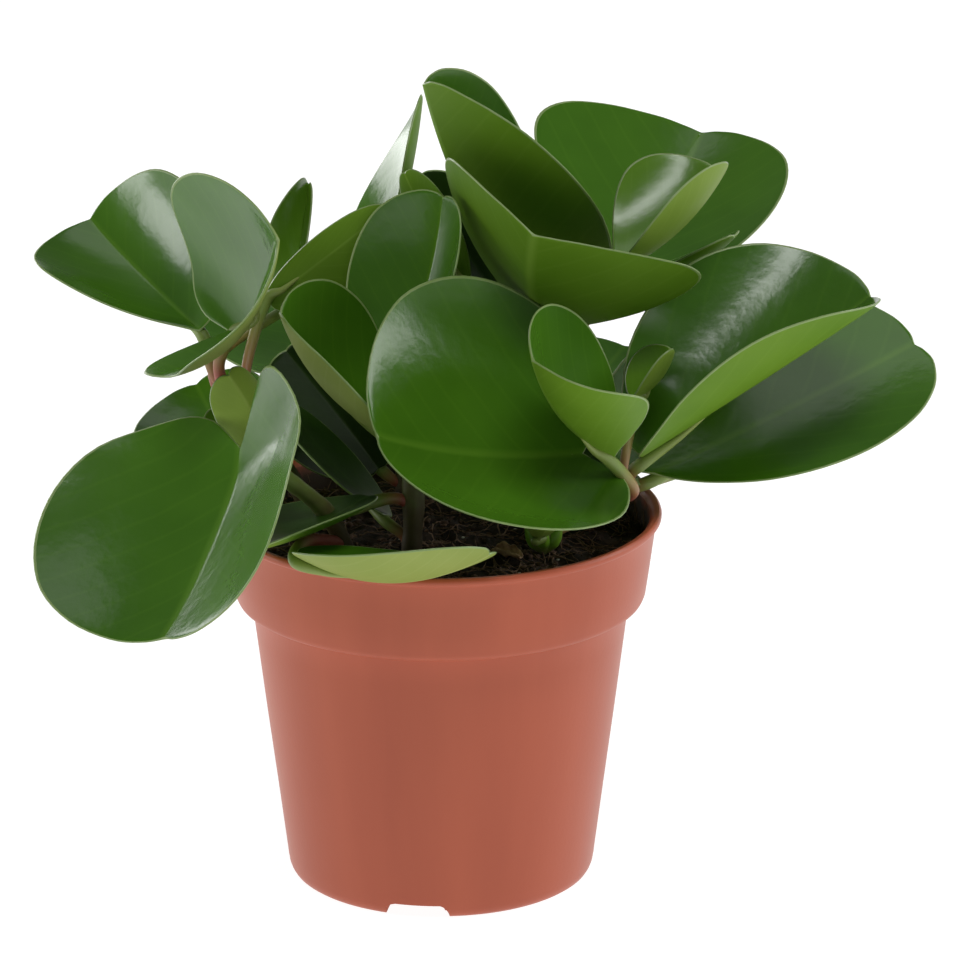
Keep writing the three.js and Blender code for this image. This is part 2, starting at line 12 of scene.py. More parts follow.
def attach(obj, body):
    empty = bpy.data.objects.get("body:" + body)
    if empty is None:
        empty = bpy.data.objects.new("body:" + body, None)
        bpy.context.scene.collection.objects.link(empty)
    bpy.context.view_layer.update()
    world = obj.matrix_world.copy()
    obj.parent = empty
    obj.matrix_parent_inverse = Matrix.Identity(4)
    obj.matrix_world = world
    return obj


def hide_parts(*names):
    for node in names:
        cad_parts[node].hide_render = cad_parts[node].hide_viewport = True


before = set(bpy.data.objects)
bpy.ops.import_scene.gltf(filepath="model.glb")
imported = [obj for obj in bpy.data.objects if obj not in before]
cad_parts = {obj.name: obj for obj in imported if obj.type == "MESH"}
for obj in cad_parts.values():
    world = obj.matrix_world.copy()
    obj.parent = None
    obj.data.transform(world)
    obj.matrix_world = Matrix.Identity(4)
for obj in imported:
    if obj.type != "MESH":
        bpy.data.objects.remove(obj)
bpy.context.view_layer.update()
MM = 0.001


# The table is a plain white sweep, bright enough to lose its edges, as in a shop's picture of a plant.
# The camera stands 1.6 m away and looks down on the pot at 18 degrees through a long lens.
scene = bpy.context.scene
scene.view_settings.view_transform = "Standard"
scene.view_settings.look = "None"

LOOK_AT = Vector((0.01346, 0.0, 0.10807))
CAMERA_DISTANCE = 1.6
CAMERA_RISE = math.radians(18.2)
CAMERA_LENS = 217.25

lens = bpy.data.cameras.new("camera")
lens.lens = CAMERA_LENS
lens.sensor_width = 36.0
camera = bpy.data.objects.new("camera", lens)
scene.collection.objects.link(camera)
back_away = Vector((0.0, -math.cos(CAMERA_RISE), math.sin(CAMERA_RISE)))
camera.location = LOOK_AT + back_away * CAMERA_DISTANCE
camera.rotation_euler = (-back_away).to_track_quat("-Z", "Y").to_euler()
scene.camera = camera


def new_material(name, roughness):
    """A new material, with its nodes, its links and its shader."""
    material = bpy.data.materials.new(name)
    material.use_nodes = True
    nodes = material.node_tree.nodes
    shader = nodes["Principled BSDF"]
    shader.inputs["Roughness"].default_value = roughness
    return material, nodes, material.node_tree.links, shader


def mottled_material(name, roughness, fineness, tones, spread=(0.0, 1.0), laid_by="Object"):
    """A material whose colour drifts between two tones in soft patches, and its shader."""
    material, nodes, links, shader = new_material(name, roughness)
    place = nodes.new("ShaderNodeTexCoord")
    patches = nodes.new("ShaderNodeTexNoise")
    patches.inputs["Scale"].default_value = fineness
    tone = nodes.new("ShaderNodeValToRGB")
    for stop, position, colour in zip(tone.color_ramp.elements, spread, tones):
        stop.position = position
        stop.color = (*colour, 1.0)
    links.new(place.outputs[laid_by], patches.inputs["Vector"])
    links.new(patches.outputs["Fac"], tone.inputs["Fac"])
    links.new(tone.outputs["Color"], shader.inputs["Base Color"])
    return material, shader


SWEEP_REACH = 6.0
SWEEP_TONES = [(0.24, 0.24, 0.24), (0.27, 0.27, 0.27)]
sweep_paint, shader = mottled_material("white_sweep", 0.9, 3.0, SWEEP_TONES, laid_by="Generated")
shader.inputs["Specular IOR Level"].default_value = 0.0
shader.inputs["Emission Color"].default_value = (1.0, 1.0, 1.0, 1.0)
shader.inputs["Emission Strength"].default_value = 0.95

sweep_mesh = bpy.data.meshes.new("sweep")
sweep_corners = [(x * SWEEP_REACH, y * SWEEP_REACH, 0) for x, y in ((-1, -1), (1, -1), (1, 1), (-1, 1))]
sweep_mesh.from_pydata(sweep_corners, [], [(0, 1, 2, 3)])
sweep_mesh.materials.append(sweep_paint)
sweep = bpy.data.objects.new("sweep", sweep_mesh)
scene.collection.objects.link(sweep)

studio = bpy.data.worlds.new("studio")
studio.use_nodes = True
nodes = studio.node_tree.nodes
links = studio.node_tree.links
direction = nodes.new("ShaderNodeTexCoord")
heading = nodes.new("ShaderNodeSeparateXYZ")
wall_glow = nodes.new("ShaderNodeMapRange")
wall_glow.interpolation_type = "SMOOTHSTEP"
wall_glow.inputs["From Min"].default_value = 0.04
wall_glow.inputs["From Max"].default_value = 0.24
wall_glow.inputs["To Min"].default_value = 1.0
wall_glow.inputs["To Max"].default_value = 0.10
links.new(direction.outputs["Generated"], heading.inputs["Vector"])
links.new(heading.outputs["Z"], wall_glow.inputs["Value"])
links.new(wall_glow.outputs["Result"], nodes["Background"].inputs["Strength"])
nodes["Background"].inputs["Color"].default_value = (1.0, 1.0, 1.0, 1.0)
scene.world = studio


LAMPS_AIM = Vector((0.0, 0.0, 0.12))


def softbox(name, location, width, height, watts):
    """A studio softbox: a white rectangle of light, turned towards the middle of the plant."""
    lamp = bpy.data.lights.new(name, "AREA")
    lamp.shape = "RECTANGLE"
    lamp.size = width
    lamp.size_y = height
    lamp.energy = watts
    box = bpy.data.objects.new(name, lamp)
    box.location = location
    box.rotation_euler = (LAMPS_AIM - Vector(location)).to_track_quat("-Z", "Y").to_euler()
    scene.collection.objects.link(box)


softbox("front_softbox", (0.18, -0.70, 1.82), 0.9, 0.34, 10.5)
softbox("top_softbox", (-0.16, 0.50, 1.90), 0.9, 0.9, 2.6)
softbox("back_left_softbox", (-1.00, 1.19, 0.37), 0.7, 0.7, 6.5)
softbox("left_softbox", (-1.46, 0.15, 0.42), 0.45, 0.45, 4.0)
softbox("right_softbox", (1.45, 0.25, 0.70), 0.9, 0.6, 9.0)


# The pot is one injection moulding in terracotta-coloured plastic: a tapered body, a stepped collar with
# a rolled lip, and a foot ring with three drain notches. It stands on the foot ring and a middle pad, and
# six drain holes go through its floor. Its profile is radius and height in millimetres.
POT_SIDES = 192
POT_PROFILE = [
    (8.0, 0.0),
    (8.6, 4.0),
    (37.6, 4.0),
    (38.0, 0.3),
    (38.3, 0.0),
    (39.4, 0.0),
    (40.2, 0.2),
    (40.9, 0.7),
    (41.4, 1.5),
    (41.8, 2.6),
    (41.9, 3.4),
    (42.1, 4.4),
    (42.3, 6.2),
    (44.6, 24.5),
    (47.5, 47.0),
    (50.3, 69.6),
    (51.2, 77.2),
    (51.5, 77.8),
    (52.0, 78.1),
    (54.6, 78.6),
    (55.2, 79.0),
    (55.5, 79.6),
    (55.8, 80.4),
    (56.7, 86.6),
    (57.6, 93.4),
    (58.5, 99.9),
    (58.8, 100.6),
    (59.6, 100.9),
    (59.95, 101.4),
    (60.0, 102.0),
    (59.8, 102.6),
    (59.3, 103.0),
    (58.4, 103.0),
    (57.8, 102.7),
    (57.3, 102.0),
    (56.8, 101.4),
    (55.4, 90.6),
    (54.0, 81.2),
    (53.4, 80.5),
    (50.2, 80.1),
    (49.6, 79.6),
    (48.6, 71.0),
    (44.3, 36.0),
    (40.6, 8.0),
    (40.1, 6.6),
    (38.8, 6.0),
]
INNER_WALL_TOP = (56.8, 101.4)
FOOT_RING_INSIDE = 37.9
FOOT_RING_MIDDLE = 40.5
FOOT_RING_OUTSIDE = 42.0
NOTCH_HALF_WIDTH = 8.75
NOTCH_SLANT = 1.6
NOTCH_HEIGHT = 3.8
NOTCH_DEGREES = (-98.7, 21.3, 141.3)
DRAIN_HOLES = 6
DRAIN_SIDES = 24
DRAIN_CIRCLE = 24.0
DRAIN_RADIUS = 3.5
DRILL_LENGTH = 20.0
DRILL_HEIGHT = 5.0
SHARPEST_SMOOTH_BEND = math.radians(35)


def notch_rise(x, y):
    """How high the foot ring is cut away at a place round the pot."""
    rise = 0.0
    for degrees in NOTCH_DEGREES:
        turn = math.radians(degrees)
        ahead = x * math.cos(turn) + y * math.sin(turn)
        aside = abs(-x * math.sin(turn) + y * math.cos(turn))
        if ahead > 0:
            slope = (NOTCH_HALF_WIDTH - aside) / NOTCH_SLANT
            rise = max(rise, NOTCH_HEIGHT * min(max(slope, 0.0), 1.0))
    return rise


def add_piece(name, bm, materials, node):
    """Turn the mesh into a piece that rides on the plant and stands for its solid."""
    mesh = bpy.data.meshes.new(name)
    bm.to_mesh(mesh)
    bm.free()
    for material in materials:
        mesh.materials.append(material)
    piece = bpy.data.objects.new(name, mesh)
    scene.collection.objects.link(piece)
    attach(piece, "root")
    if node:
        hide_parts(node)
    return piece


def smooth_faces(bm):
    """Shade every face smooth."""
    for face in bm.faces:
        face.smooth = True


def close_rings(bm, rings):
    """Join rings of corners into one closed skin, and give back its walls, row by row, and its two ends."""
    walls = []
    for low, high in zip(rings, rings[1:]):
        row = []
        for k in range(len(low)):
            after = (k + 1) % len(low)
            row.append(bm.faces.new((low[k], low[after], high[after], high[k])))
        walls.append(row)
    ends = [bm.faces.new(rings[0][::-1]), bm.faces.new(rings[-1])]
    return walls, ends


bm = bmesh.new()
notch_edges = []
for degrees in NOTCH_DEGREES:
    for half in (NOTCH_HALF_WIDTH, NOTCH_HALF_WIDTH - NOTCH_SLANT):
        swing = math.degrees(math.asin(half / FOOT_RING_MIDDLE))
        notch_edges += [(degrees - swing) % 360, (degrees + swing) % 360]
even_turns = [k * 360 / POT_SIDES for k in range(POT_SIDES)]
turns = sorted({round(degrees, 4) for degrees in even_turns + notch_edges})
rings = []
for radius, height in POT_PROFILE:
    ring = []
    for degrees in turns:
        x = radius * math.cos(math.radians(degrees))
        y = radius * math.sin(math.radians(degrees))
        in_foot_ring = FOOT_RING_INSIDE < radius < FOOT_RING_OUTSIDE and height < NOTCH_HEIGHT
        z = max(height, notch_rise(x, y)) if in_foot_ring else height
        ring.append(bm.verts.new((x * MM, y * MM, z * MM)))
    rings.append(ring)
walls, ends = close_rings(bm, rings)
for row in walls[POT_PROFILE.index(INNER_WALL_TOP):]:
    for wall in row:
        wall.material_index = 1
smooth_faces(bm)
bmesh.ops.recalc_face_normals(bm, faces=bm.faces)
for edge in bm.edges:
    if len(edge.link_faces) == 2 and edge.calc_face_angle() > SHARPEST_SMOOTH_BEND:
        edge.smooth = False

POT_MID = (0.47, 0.105, 0.050, 1.0)
POT_DEEP = (0.41, 0.086, 0.040, 1.0)
pot_plastic, nodes, links, shader = new_material("terracotta_plastic", 0.38)
shader.inputs["Specular IOR Level"].default_value = 0.35
place = nodes.new("ShaderNodeTexCoord")
stretch = nodes.new("ShaderNodeMapping")
stretch.inputs["Scale"].default_value = (1.0, 1.0, 0.08)
flow = nodes.new("ShaderNodeTexNoise")
flow.inputs["Scale"].default_value = 45.0
flow.inputs["Detail"].default_value = 5.0
flow_tone = nodes.new("ShaderNodeValToRGB")
flow_tone.color_ramp.elements[0].position = 0.3
flow_tone.color_ramp.elements[0].color = POT_DEEP
flow_tone.color_ramp.elements[1].position = 0.7
flow_tone.color_ramp.elements[1].color = POT_MID
links.new(place.outputs["Object"], stretch.inputs["Vector"])
links.new(stretch.outputs["Vector"], flow.inputs["Vector"])
links.new(flow.outputs["Fac"], flow_tone.inputs["Fac"])
links.new(flow_tone.outputs["Color"], shader.inputs["Base Color"])
skin = nodes.new("ShaderNodeTexNoise")
skin.inputs["Scale"].default_value = 900.0
skin.inputs["Detail"].default_value = 2.0
skin_bump = nodes.new("ShaderNodeBump")
skin_bump.inputs["Strength"].default_value = 0.06
skin_bump.inputs["Distance"].default_value = 0.0004
links.new(place.outputs["Object"], skin.inputs["Vector"])
links.new(skin.outputs["Fac"], skin_bump.inputs["Height"])
links.new(skin_bump.outputs["Normal"], shader.inputs["Normal"])
gloss_drift = nodes.new("ShaderNodeMapRange")
gloss_drift.inputs["To Min"].default_value = 0.34
gloss_drift.inputs["To Max"].default_value = 0.44
links.new(flow.outputs["Fac"], gloss_drift.inputs["Value"])
links.new(gloss_drift.outputs["Result"], shader.inputs["Roughness"])

# The inside of the wall is painted darker towards the peat, near black at it. This is painted shade down
# inside the pot, with a blotchy edge from smeared patches of earth. Near the lip it keeps the plastic's
# colour.
shade_darkened_wall, nodes, links, shader = new_material("inner_wall_smears_and_painted_shade", 0.7)
place = nodes.new("ShaderNodeTexCoord")
height_up = nodes.new("ShaderNodeSeparateXYZ")
smear = nodes.new("ShaderNodeTexNoise")
smear.inputs["Scale"].default_value = 160.0
smear.inputs["Detail"].default_value = 4.0
unshaded_share = nodes.new("ShaderNodeMapRange")
unshaded_share.inputs["From Min"].default_value = 0.095
unshaded_share.inputs["From Max"].default_value = 0.108
smears_and_shade = nodes.new("ShaderNodeMath")
smears_and_shade.operation = "MULTIPLY_ADD"
smears_and_shade.inputs[1].default_value = 0.7
wall_tone = nodes.new("ShaderNodeValToRGB")
wall_tone.color_ramp.elements[0].position = 0.6
wall_tone.color_ramp.elements[0].color = (0.040, 0.020, 0.012, 1.0)
wall_tone.color_ramp.elements[1].position = 1.0
wall_tone.color_ramp.elements[1].color = POT_DEEP
links.new(place.outputs["Object"], height_up.inputs["Vector"])
links.new(place.outputs["Object"], smear.inputs["Vector"])
links.new(height_up.outputs["Z"], unshaded_share.inputs["Value"])
links.new(smear.outputs["Fac"], smears_and_shade.inputs[0])
links.new(unshaded_share.outputs["Result"], smears_and_shade.inputs[2])
links.new(smears_and_shade.outputs["Value"], wall_tone.inputs["Fac"])
links.new(wall_tone.outputs["Color"], shader.inputs["Base Color"])

pot = add_piece("nursery_pot", bm, [pot_plastic, shade_darkened_wall], "pot")
for k in range(DRAIN_HOLES):
    turn = (k + 0.5) / DRAIN_HOLES * 2 * math.pi
    drill_bm = bmesh.new()
    bmesh.ops.create_cone(
        drill_bm, cap_ends=True, segments=DRAIN_SIDES,
        radius1=DRAIN_RADIUS * MM, radius2=DRAIN_RADIUS * MM, depth=DRILL_LENGTH * MM,
    )
    drill_mesh = bpy.data.meshes.new("drill")
    drill_bm.to_mesh(drill_mesh)
    drill_bm.free()
    drill = bpy.data.objects.new("drill", drill_mesh)
    across = Vector((math.cos(turn), math.sin(turn), 0))
    drill.location = (across * DRAIN_CIRCLE + Vector((0, 0, DRILL_HEIGHT))) * MM
    scene.collection.objects.link(drill)
    bore = pot.modifiers.new("bore", "BOOLEAN")
    bore.operation = "DIFFERENCE"
    bore.object = drill
    bpy.context.view_layer.update()
    bored = bpy.data.meshes.new_from_object(pot.evaluated_get(bpy.context.evaluated_depsgraph_get()))
    pot.modifiers.clear()
    pot.data = bored
    bpy.data.objects.remove(drill)


# The soil is dark peat, pressed in by hand. It fills the pot from the floor to just under the lip, and its
# top is lumpy and a little higher in the middle.
SOIL_RADIUS = 55.0
SOIL_LEVEL = 94.0
SOIL_CROWN = 3.5
SOIL_WALLS = [(38.1, 6.3), (39.9, 8.2), (48.7, 80.2), (53.0, 81.3), (54.6, 93.4)]
SOIL_SIDES = 160
SOIL_RINGS = 46


def soil_height(x, y):
    """The lumpy top of the peat, in millimetres above the table."""
    share = min(math.hypot(x, y) / SOIL_RADIUS, 1.0)
    swell = 1.1 * (math.sin(x * 0.31 + 1.3) * math.cos(y * 0.27) + 0.6 * math.sin(x * 0.13 - y * 0.52))
    lumps = noise.noise(Vector((x, y, 0)) * 0.22) * 1.3 + noise.noise(Vector((x, y, 9)) * 0.6) * 0.8
    crumbs = noise.noise(Vector((x, y, 21)) * 1.5) * 0.5
    return SOIL_LEVEL + SOIL_CROWN * (1 - share * share) + (swell + lumps + crumbs) * (1 - 0.4 * share)


bm = bmesh.new()
turns = [k / SOIL_SIDES * 2 * math.pi for k in range(SOIL_SIDES)]
rings = []
for radius, height in SOIL_WALLS:
    ring = [(radius * math.cos(turn) * MM, radius * math.sin(turn) * MM, height * MM) for turn in turns]
    rings.append([bm.verts.new(corner) for corner in ring])
for step in range(SOIL_RINGS, 0, -1):
    radius = SOIL_RADIUS * step / SOIL_RINGS
    ring = []
    for turn in turns:
        x = radius * math.cos(turn)
        y = radius * math.sin(turn)
        ring.append(bm.verts.new((x * MM, y * MM, soil_height(x, y) * MM)))
    rings.append(ring)
close_rings(bm, rings)
smooth_faces(bm)

peat, nodes, links, shader = new_material("dark_peat", 0.95)
place = nodes.new("ShaderNodeTexCoord")
clods = nodes.new("ShaderNodeTexNoise")
clods.inputs["Scale"].default_value = 420.0
clods.inputs["Detail"].default_value = 6.0
clods.inputs["Roughness"].default_value = 0.7
clod_tone = nodes.new("ShaderNodeValToRGB")
clod_tone.color_ramp.elements[0].position = 0.38
clod_tone.color_ramp.elements[0].color = (0.006, 0.0035, 0.002, 1.0)
clod_tone.color_ramp.elements[1].position = 0.72
clod_tone.color_ramp.elements[1].color = (0.060, 0.034, 0.018, 1.0)
clod_bump = nodes.new("ShaderNodeBump")
clod_bump.inputs["Strength"].default_value = 0.9
clod_bump.inputs["Distance"].default_value = 0.0012
links.new(place.outputs["Object"], clods.inputs["Vector"])
links.new(clods.outputs["Fac"], clod_tone.inputs["Fac"])
links.new(clod_tone.outputs["Color"], shader.inputs["Base Color"])
links.new(clods.outputs["Fac"], clod_bump.inputs["Height"])
links.new(clod_bump.outputs["Normal"], shader.inputs["Normal"])
add_piece("peat", bm, [peat], "soil")


# The litter is the loose bits on the peat: bark crumbs half sunk in it, thread-like fibres lying on it and
# a few white grains. Fine roots cling to the pot's inner wall just above. Their sizes are millimetres.
CRUMBS = 1500
CRUMB_REACH = 52.5
FIBRES = 420
FIBRE_REACH = 50
WHITE_GRAINS = 46
GRAIN_REACH = 51
WALL_ROOTS = 170
THREAD_POINTS = 7
THREAD_SIDES = 4
PEAT_EDGE = 54.5
ROOT_FOOT = 92.5
WALL_RADIUS_AT = (93.4, 55.2)
WALL_SLOPE = 0.137
BARK, FIBRE, GRAIN = range(3)
dice = random.Random(7)
bark, _ = mottled_material(
    "bark_crumbs", 0.9, 260.0, [(0.012, 0.007, 0.004), (0.16, 0.085, 0.045)], spread=(0.35, 0.75)
)
fibre, _ = mottled_material(
    "pale_fibre", 0.85, 120.0, [(0.05, 0.028, 0.014), (0.30, 0.19, 0.11)], laid_by="Generated"
)
white_grain, _ = mottled_material(
    "white_grain", 0.8, 600.0, [(0.45, 0.42, 0.36), (0.85, 0.83, 0.78)], laid_by="Generated"
)


def add_crumb(bm, x, y, size, material_index):
    """One lump, half sunk in the peat."""
    made = bmesh.ops.create_icosphere(bm, subdivisions=1, radius=1.0)
    turn = dice.uniform(0, math.pi)
    shape = [dice.uniform(0.5, 1.3) for _ in range(3)]
    centre = Vector((x, y, soil_height(x, y) + size * 0.15))
    for vert in made["verts"]:
        rough = 1 + dice.uniform(-0.22, 0.22)
        across = vert.co.x * shape[0] * size * rough
        along = vert.co.y * shape[1] * size * rough
        lift = vert.co.z * shape[2] * size * 0.6 * rough
        spot = Vector((across * math.cos(turn) - along * math.sin(turn), 0, lift))
        spot.y = across * math.sin(turn) + along * math.cos(turn)
        vert.co = (centre + spot) * MM
        for face in vert.link_faces:
            face.material_index = material_index


def spot_on_peat(reach):
    """A place picked at random, and evenly, within that reach of the pot's middle."""
    away = reach * math.sqrt(dice.random())
    turn = dice.uniform(0, 2 * math.pi)
    return away * math.cos(turn), away * math.sin(turn)


def fibre_on_peat(start, heading, length):
    """The points of a fibre that wanders over the peat and stays inside the pot."""
    x, y = start
    stride = length / (THREAD_POINTS - 1)
    points = []
    for _ in range(THREAD_POINTS):
        points.append(Vector((x, y, soil_height(x, y) + 0.35 + dice.uniform(0, 0.5))))
        heading += dice.uniform(-0.5, 0.5)
        x += math.cos(heading) * stride
        y += math.sin(heading) * stride
        overshoot = max(math.hypot(x, y) / PEAT_EDGE, 1.0)
        x /= overshoot
        y /= overshoot
    return points


def root_on_wall(turn, climb):
    """The points of a root that clings to the pot's inner wall above the peat."""
    known_height, known_radius = WALL_RADIUS_AT
    points = []
    for i in range(THREAD_POINTS):
        z = ROOT_FOOT + climb * i / (THREAD_POINTS - 1)
        away = known_radius + (z - known_height) * WALL_SLOPE
        turn += dice.uniform(-0.02, 0.02)
        points.append(Vector((away * math.cos(turn), away * math.sin(turn), z)))
    return points


def add_thread(bm, points, thickness):
    """One fibre or fine root through the points, half as thick at its two ends."""
    last = THREAD_POINTS - 1
    rings = []
    for i, point in enumerate(points):
        ahead = points[min(i + 1, last)] - points[max(i - 1, 0)]
        side = ahead.orthogonal().normalized()
        across = ahead.cross(side).normalized()
        radius = thickness * (0.5 if i in (0, last) else 1.0)
        corners = []
        for k in range(THREAD_SIDES):
            angle = k * 2 * math.pi / THREAD_SIDES
            spoke = side * math.cos(angle) + across * math.sin(angle)
            corners.append(bm.verts.new((point + spoke * radius) * MM))
        rings.append(corners)
    walls, ends = close_rings(bm, rings)
    for row in walls + [ends]:
        for face in row:
            face.material_index = FIBRE


bm = bmesh.new()
for _ in range(CRUMBS):
    x, y = spot_on_peat(CRUMB_REACH)
    add_crumb(bm, x, y, dice.uniform(0.35, 1.25), BARK)
for _ in range(FIBRES):
    start = spot_on_peat(FIBRE_REACH)
    points = fibre_on_peat(start, dice.uniform(0, 2 * math.pi), dice.uniform(4, 14))
    add_thread(bm, points, dice.uniform(0.09, 0.22))
for _ in range(WHITE_GRAINS):
    x, y = spot_on_peat(GRAIN_REACH)
    add_crumb(bm, x, y, dice.uniform(0.3, 0.6), GRAIN)
for _ in range(WALL_ROOTS):
    points = root_on_wall(dice.uniform(0, 2 * math.pi), dice.uniform(2.0, 7.5))
    add_thread(bm, points, dice.uniform(0.08, 0.2))
smooth_faces(bm)
add_piece("soil_litter", bm, [bark, fibre, white_grain], None)


# One small leaf has dropped at the front of the peat and dried there. It is a thin brown sheet, curled up
# from both sides, and it lies loose with its wider end a little raised.
DRY_TAIL = Vector((13.0, -20.8, 0.0))
DRY_HEAD = Vector((21.8, -28.2, 0.0))
DRY_ROWS = 30
DRY_COLUMNS = 14
DRY_THICKNESS = 0.4
DRY_ARC = 4.1
DRY_SPINE = 0.42
dry_skin, _ = mottled_material(
    "dry_leaf", 0.7, 400.0, [(0.22, 0.11, 0.055), (0.62, 0.42, 0.26)], spread=(0.3, 0.7)
)
bm = bmesh.new()
sideways = Vector((0, 0, 1)).cross(DRY_HEAD - DRY_TAIL).normalized()
sheets = []
for skin in (0.0, DRY_THICKNESS):
    sheet = []
    for i in range(DRY_ROWS + 1):
        share = i / DRY_ROWS
        spine = DRY_TAIL.lerp(DRY_HEAD, share)
        spine.z = soil_height(spine.x, spine.y) + 0.6 + 1.4 * share * share
        roll = (0.35 + 1.5 * math.sin(math.pi * (0.06 + 0.86 * share)) ** 0.8) - skin
        row = []
        for k in range(DRY_COLUMNS + 1):
            bend = (k / DRY_COLUMNS - DRY_SPINE) * DRY_ARC
            reach = roll * (1 + 0.1 * math.sin(share * 17 + k))
            spot = spine + sideways * (reach * math.sin(bend))
            spot.z += roll + skin - reach * math.cos(bend)
            row.append(bm.verts.new(spot * MM))
        sheet.append(row)
    sheets.append(sheet)
outside, inside = sheets
for i in range(DRY_ROWS):
    for k in range(DRY_COLUMNS):
        bm.faces.new((outside[i][k], outside[i][k + 1], outside[i + 1][k + 1], outside[i + 1][k]))
        bm.faces.new((inside[i][k], inside[i + 1][k], inside[i + 1][k + 1], inside[i][k + 1]))
    for k in (0, DRY_COLUMNS):
        bm.faces.new((outside[i][k], outside[i + 1][k], inside[i + 1][k], inside[i][k]))
for k in range(DRY_COLUMNS):
    for i in (0, DRY_ROWS):
        bm.faces.new((outside[i][k], inside[i][k], inside[i][k + 1], outside[i][k + 1]))
smooth_faces(bm)
bmesh.ops.recalc_face_normals(bm, faces=bm.faces)
add_piece("dropped_leaf", bm, [dry_skin], None)


# The stems are short, fleshy and knuckled, olive above and brown where they have hardened near the soil.
# Each is rooted in the peat, and leaf stalks grow out of its knuckles. A stem is a list of places along
# its middle and a list of radii, both in millimetres.
STEM_SIDES = 20
STEM_STEPS = 64
STEM_KNUCKLES = 4
DOME_FROM = 0.97
STEMS = {
    "stem_centre": (
        [(-7, -20, 82), (-7.5, -20, 97), (-7, -19, 112), (-9, -15, 128), (-11, -9, 142)],
        [2.8, 2.7, 2.9, 2.2, 1.9],
    ),
    "stem_front_left": (
        [(-24, -20, 82), (-25, -22, 97), (-30, -26, 110), (-40, -31, 121), (-47, -35, 127)],
        [2.6, 2.5, 2.5, 2.2, 1.8],
    ),
    "stem_left": (
        [(-33, 6, 82), (-34, 5, 97), (-43, 4, 114), (-53, 2, 127), (-58, 0, 136)],
        [2.7, 2.6, 2.6, 2.3, 1.9],
    ),
    "stem_right": (
        [(40, 6, 82), (42, 6, 96), (47, 3, 104), (51, 0, 109), (53, -1, 112)],
        [2.7, 2.6, 2.6, 2.5, 2.3],
    ),
    "stem_back_right": (
        [(18, 20, 82), (19, 21, 97), (25, 27, 116), (33, 32, 134), (39, 34, 148)],
        [2.8, 2.7, 2.7, 2.3, 1.9],
    ),
    "stem_back": (
        [(-10, 28, 82), (-10, 29, 97), (-11, 32, 116), (-12, 32, 136), (-13, 29, 154)],
        [2.7, 2.6, 2.6, 2.2, 1.8],
    ),
}


def eased(values, t):
    """A smooth curve through evenly spaced values, from the first at 0 to the last at 1."""
    last = len(values) - 1
    x = min(max(t, 0.0), 1.0) * last
    i = min(int(x), last - 1)
    f = x - i
    a = values[i]
    b = values[i + 1]
    before = values[i - 1] if i > 0 else a * 2 - b
    after = values[i + 2] if i + 2 <= last else b * 2 - a
    square = before * 2 - a * 5 + b * 4 - after
    cube = a * 3 - before - b * 3 + after
    return (a * 2 + (b - before) * f + square * f * f + cube * f * f * f) * 0.5


def add_tube(bm, uv, points, radius_at, sides, steps, material_index=0):
    """A closed round tube along the points, whose radius follows the share of the way along."""
    points = [Vector(p) for p in points]
    spine = [eased(points, i / steps) for i in range(steps + 1)]
    spoke = (spine[1] - spine[0]).orthogonal().normalized()
    rings = []
    for i, centre in enumerate(spine):
        ahead = (spine[min(i + 1, steps)] - spine[max(i - 1, 0)]).normalized()
        spoke = (spoke - ahead * spoke.dot(ahead)).normalized()
        cross = ahead.cross(spoke)
        ring = []
        for k in range(sides):
            angle = k / sides * 2 * math.pi
            reach = spoke * math.cos(angle) + cross * math.sin(angle)
            ring.append(bm.verts.new((centre + reach * radius_at(i / steps)) * MM))
        rings.append(ring)
    walls, ends = close_rings(bm, rings)
    for i, row in enumerate(walls):
        for k, face in enumerate(row):
            face.material_index = material_index
            face.smooth = True
            for loop, step in zip(face.loops, (i, i, i + 1, i + 1)):
                loop[uv].uv = (step / steps, k / sides)
    for cap in ends:
        cap.material_index = material_index


def stem_radius(radii, t):
    """The stem's own taper, a little thicker at each knuckle and domed at its top."""
    knuckle = abs(math.sin(t * STEM_KNUCKLES * math.pi)) ** 8
    dome = math.sqrt(max(1 - max(t - DOME_FROM, 0) / (1 - DOME_FROM), 0.02))
    return eased(radii, t) * (0.94 + 0.1 * (1 - knuckle) ** 6) * dome


stem_skin, nodes, links, shader = new_material("stem_skin", 0.55)
where = nodes.new("ShaderNodeUVMap")
split = nodes.new("ShaderNodeSeparateXYZ")
place = nodes.new("ShaderNodeTexCoord")
mottle = nodes.new("ShaderNodeTexNoise")
mottle.inputs["Scale"].default_value = 180.0
mottle.inputs["Detail"].default_value = 4.0
ageing = nodes.new("ShaderNodeMath")
ageing.operation = "MULTIPLY_ADD"
ageing.inputs[1].default_value = 0.5
stem_tone = nodes.new("ShaderNodeValToRGB")
stem_tone.color_ramp.elements[0].position = 0.40
stem_tone.color_ramp.elements[0].color = (0.050, 0.027, 0.014, 1.0)
stem_tone.color_ramp.elements[1].position = 1.0
stem_tone.color_ramp.elements[1].color = (0.13, 0.19, 0.035, 1.0)
middle = stem_tone.color_ramp.elements.new(0.72)
middle.color = (0.10, 0.085, 0.028, 1.0)
links.new(where.outputs["UV"], split.inputs["Vector"])
links.new(place.outputs["Object"], mottle.inputs["Vector"])
links.new(mottle.outputs["Fac"], ageing.inputs[0])
links.new(split.outputs["X"], ageing.inputs[2])
links.new(ageing.outputs["Value"], stem_tone.inputs["Fac"])
links.new(stem_tone.outputs["Color"], shader.inputs["Base Color"])
stem_bump = nodes.new("ShaderNodeBump")
stem_bump.inputs["Strength"].default_value = 0.35
stem_bump.inputs["Distance"].default_value = 0.0006
links.new(mottle.outputs["Fac"], stem_bump.inputs["Height"])
links.new(stem_bump.outputs["Normal"], shader.inputs["Normal"])

for name, (points, radii) in STEMS.items():
    bm = bmesh.new()
    uv = bm.loops.layers.uv.new("along")
    add_tube(bm, uv, points, lambda t: stem_radius(radii, t), STEM_SIDES, STEM_STEPS)
    add_piece(f"{name}_skin", bm, [stem_skin], name)


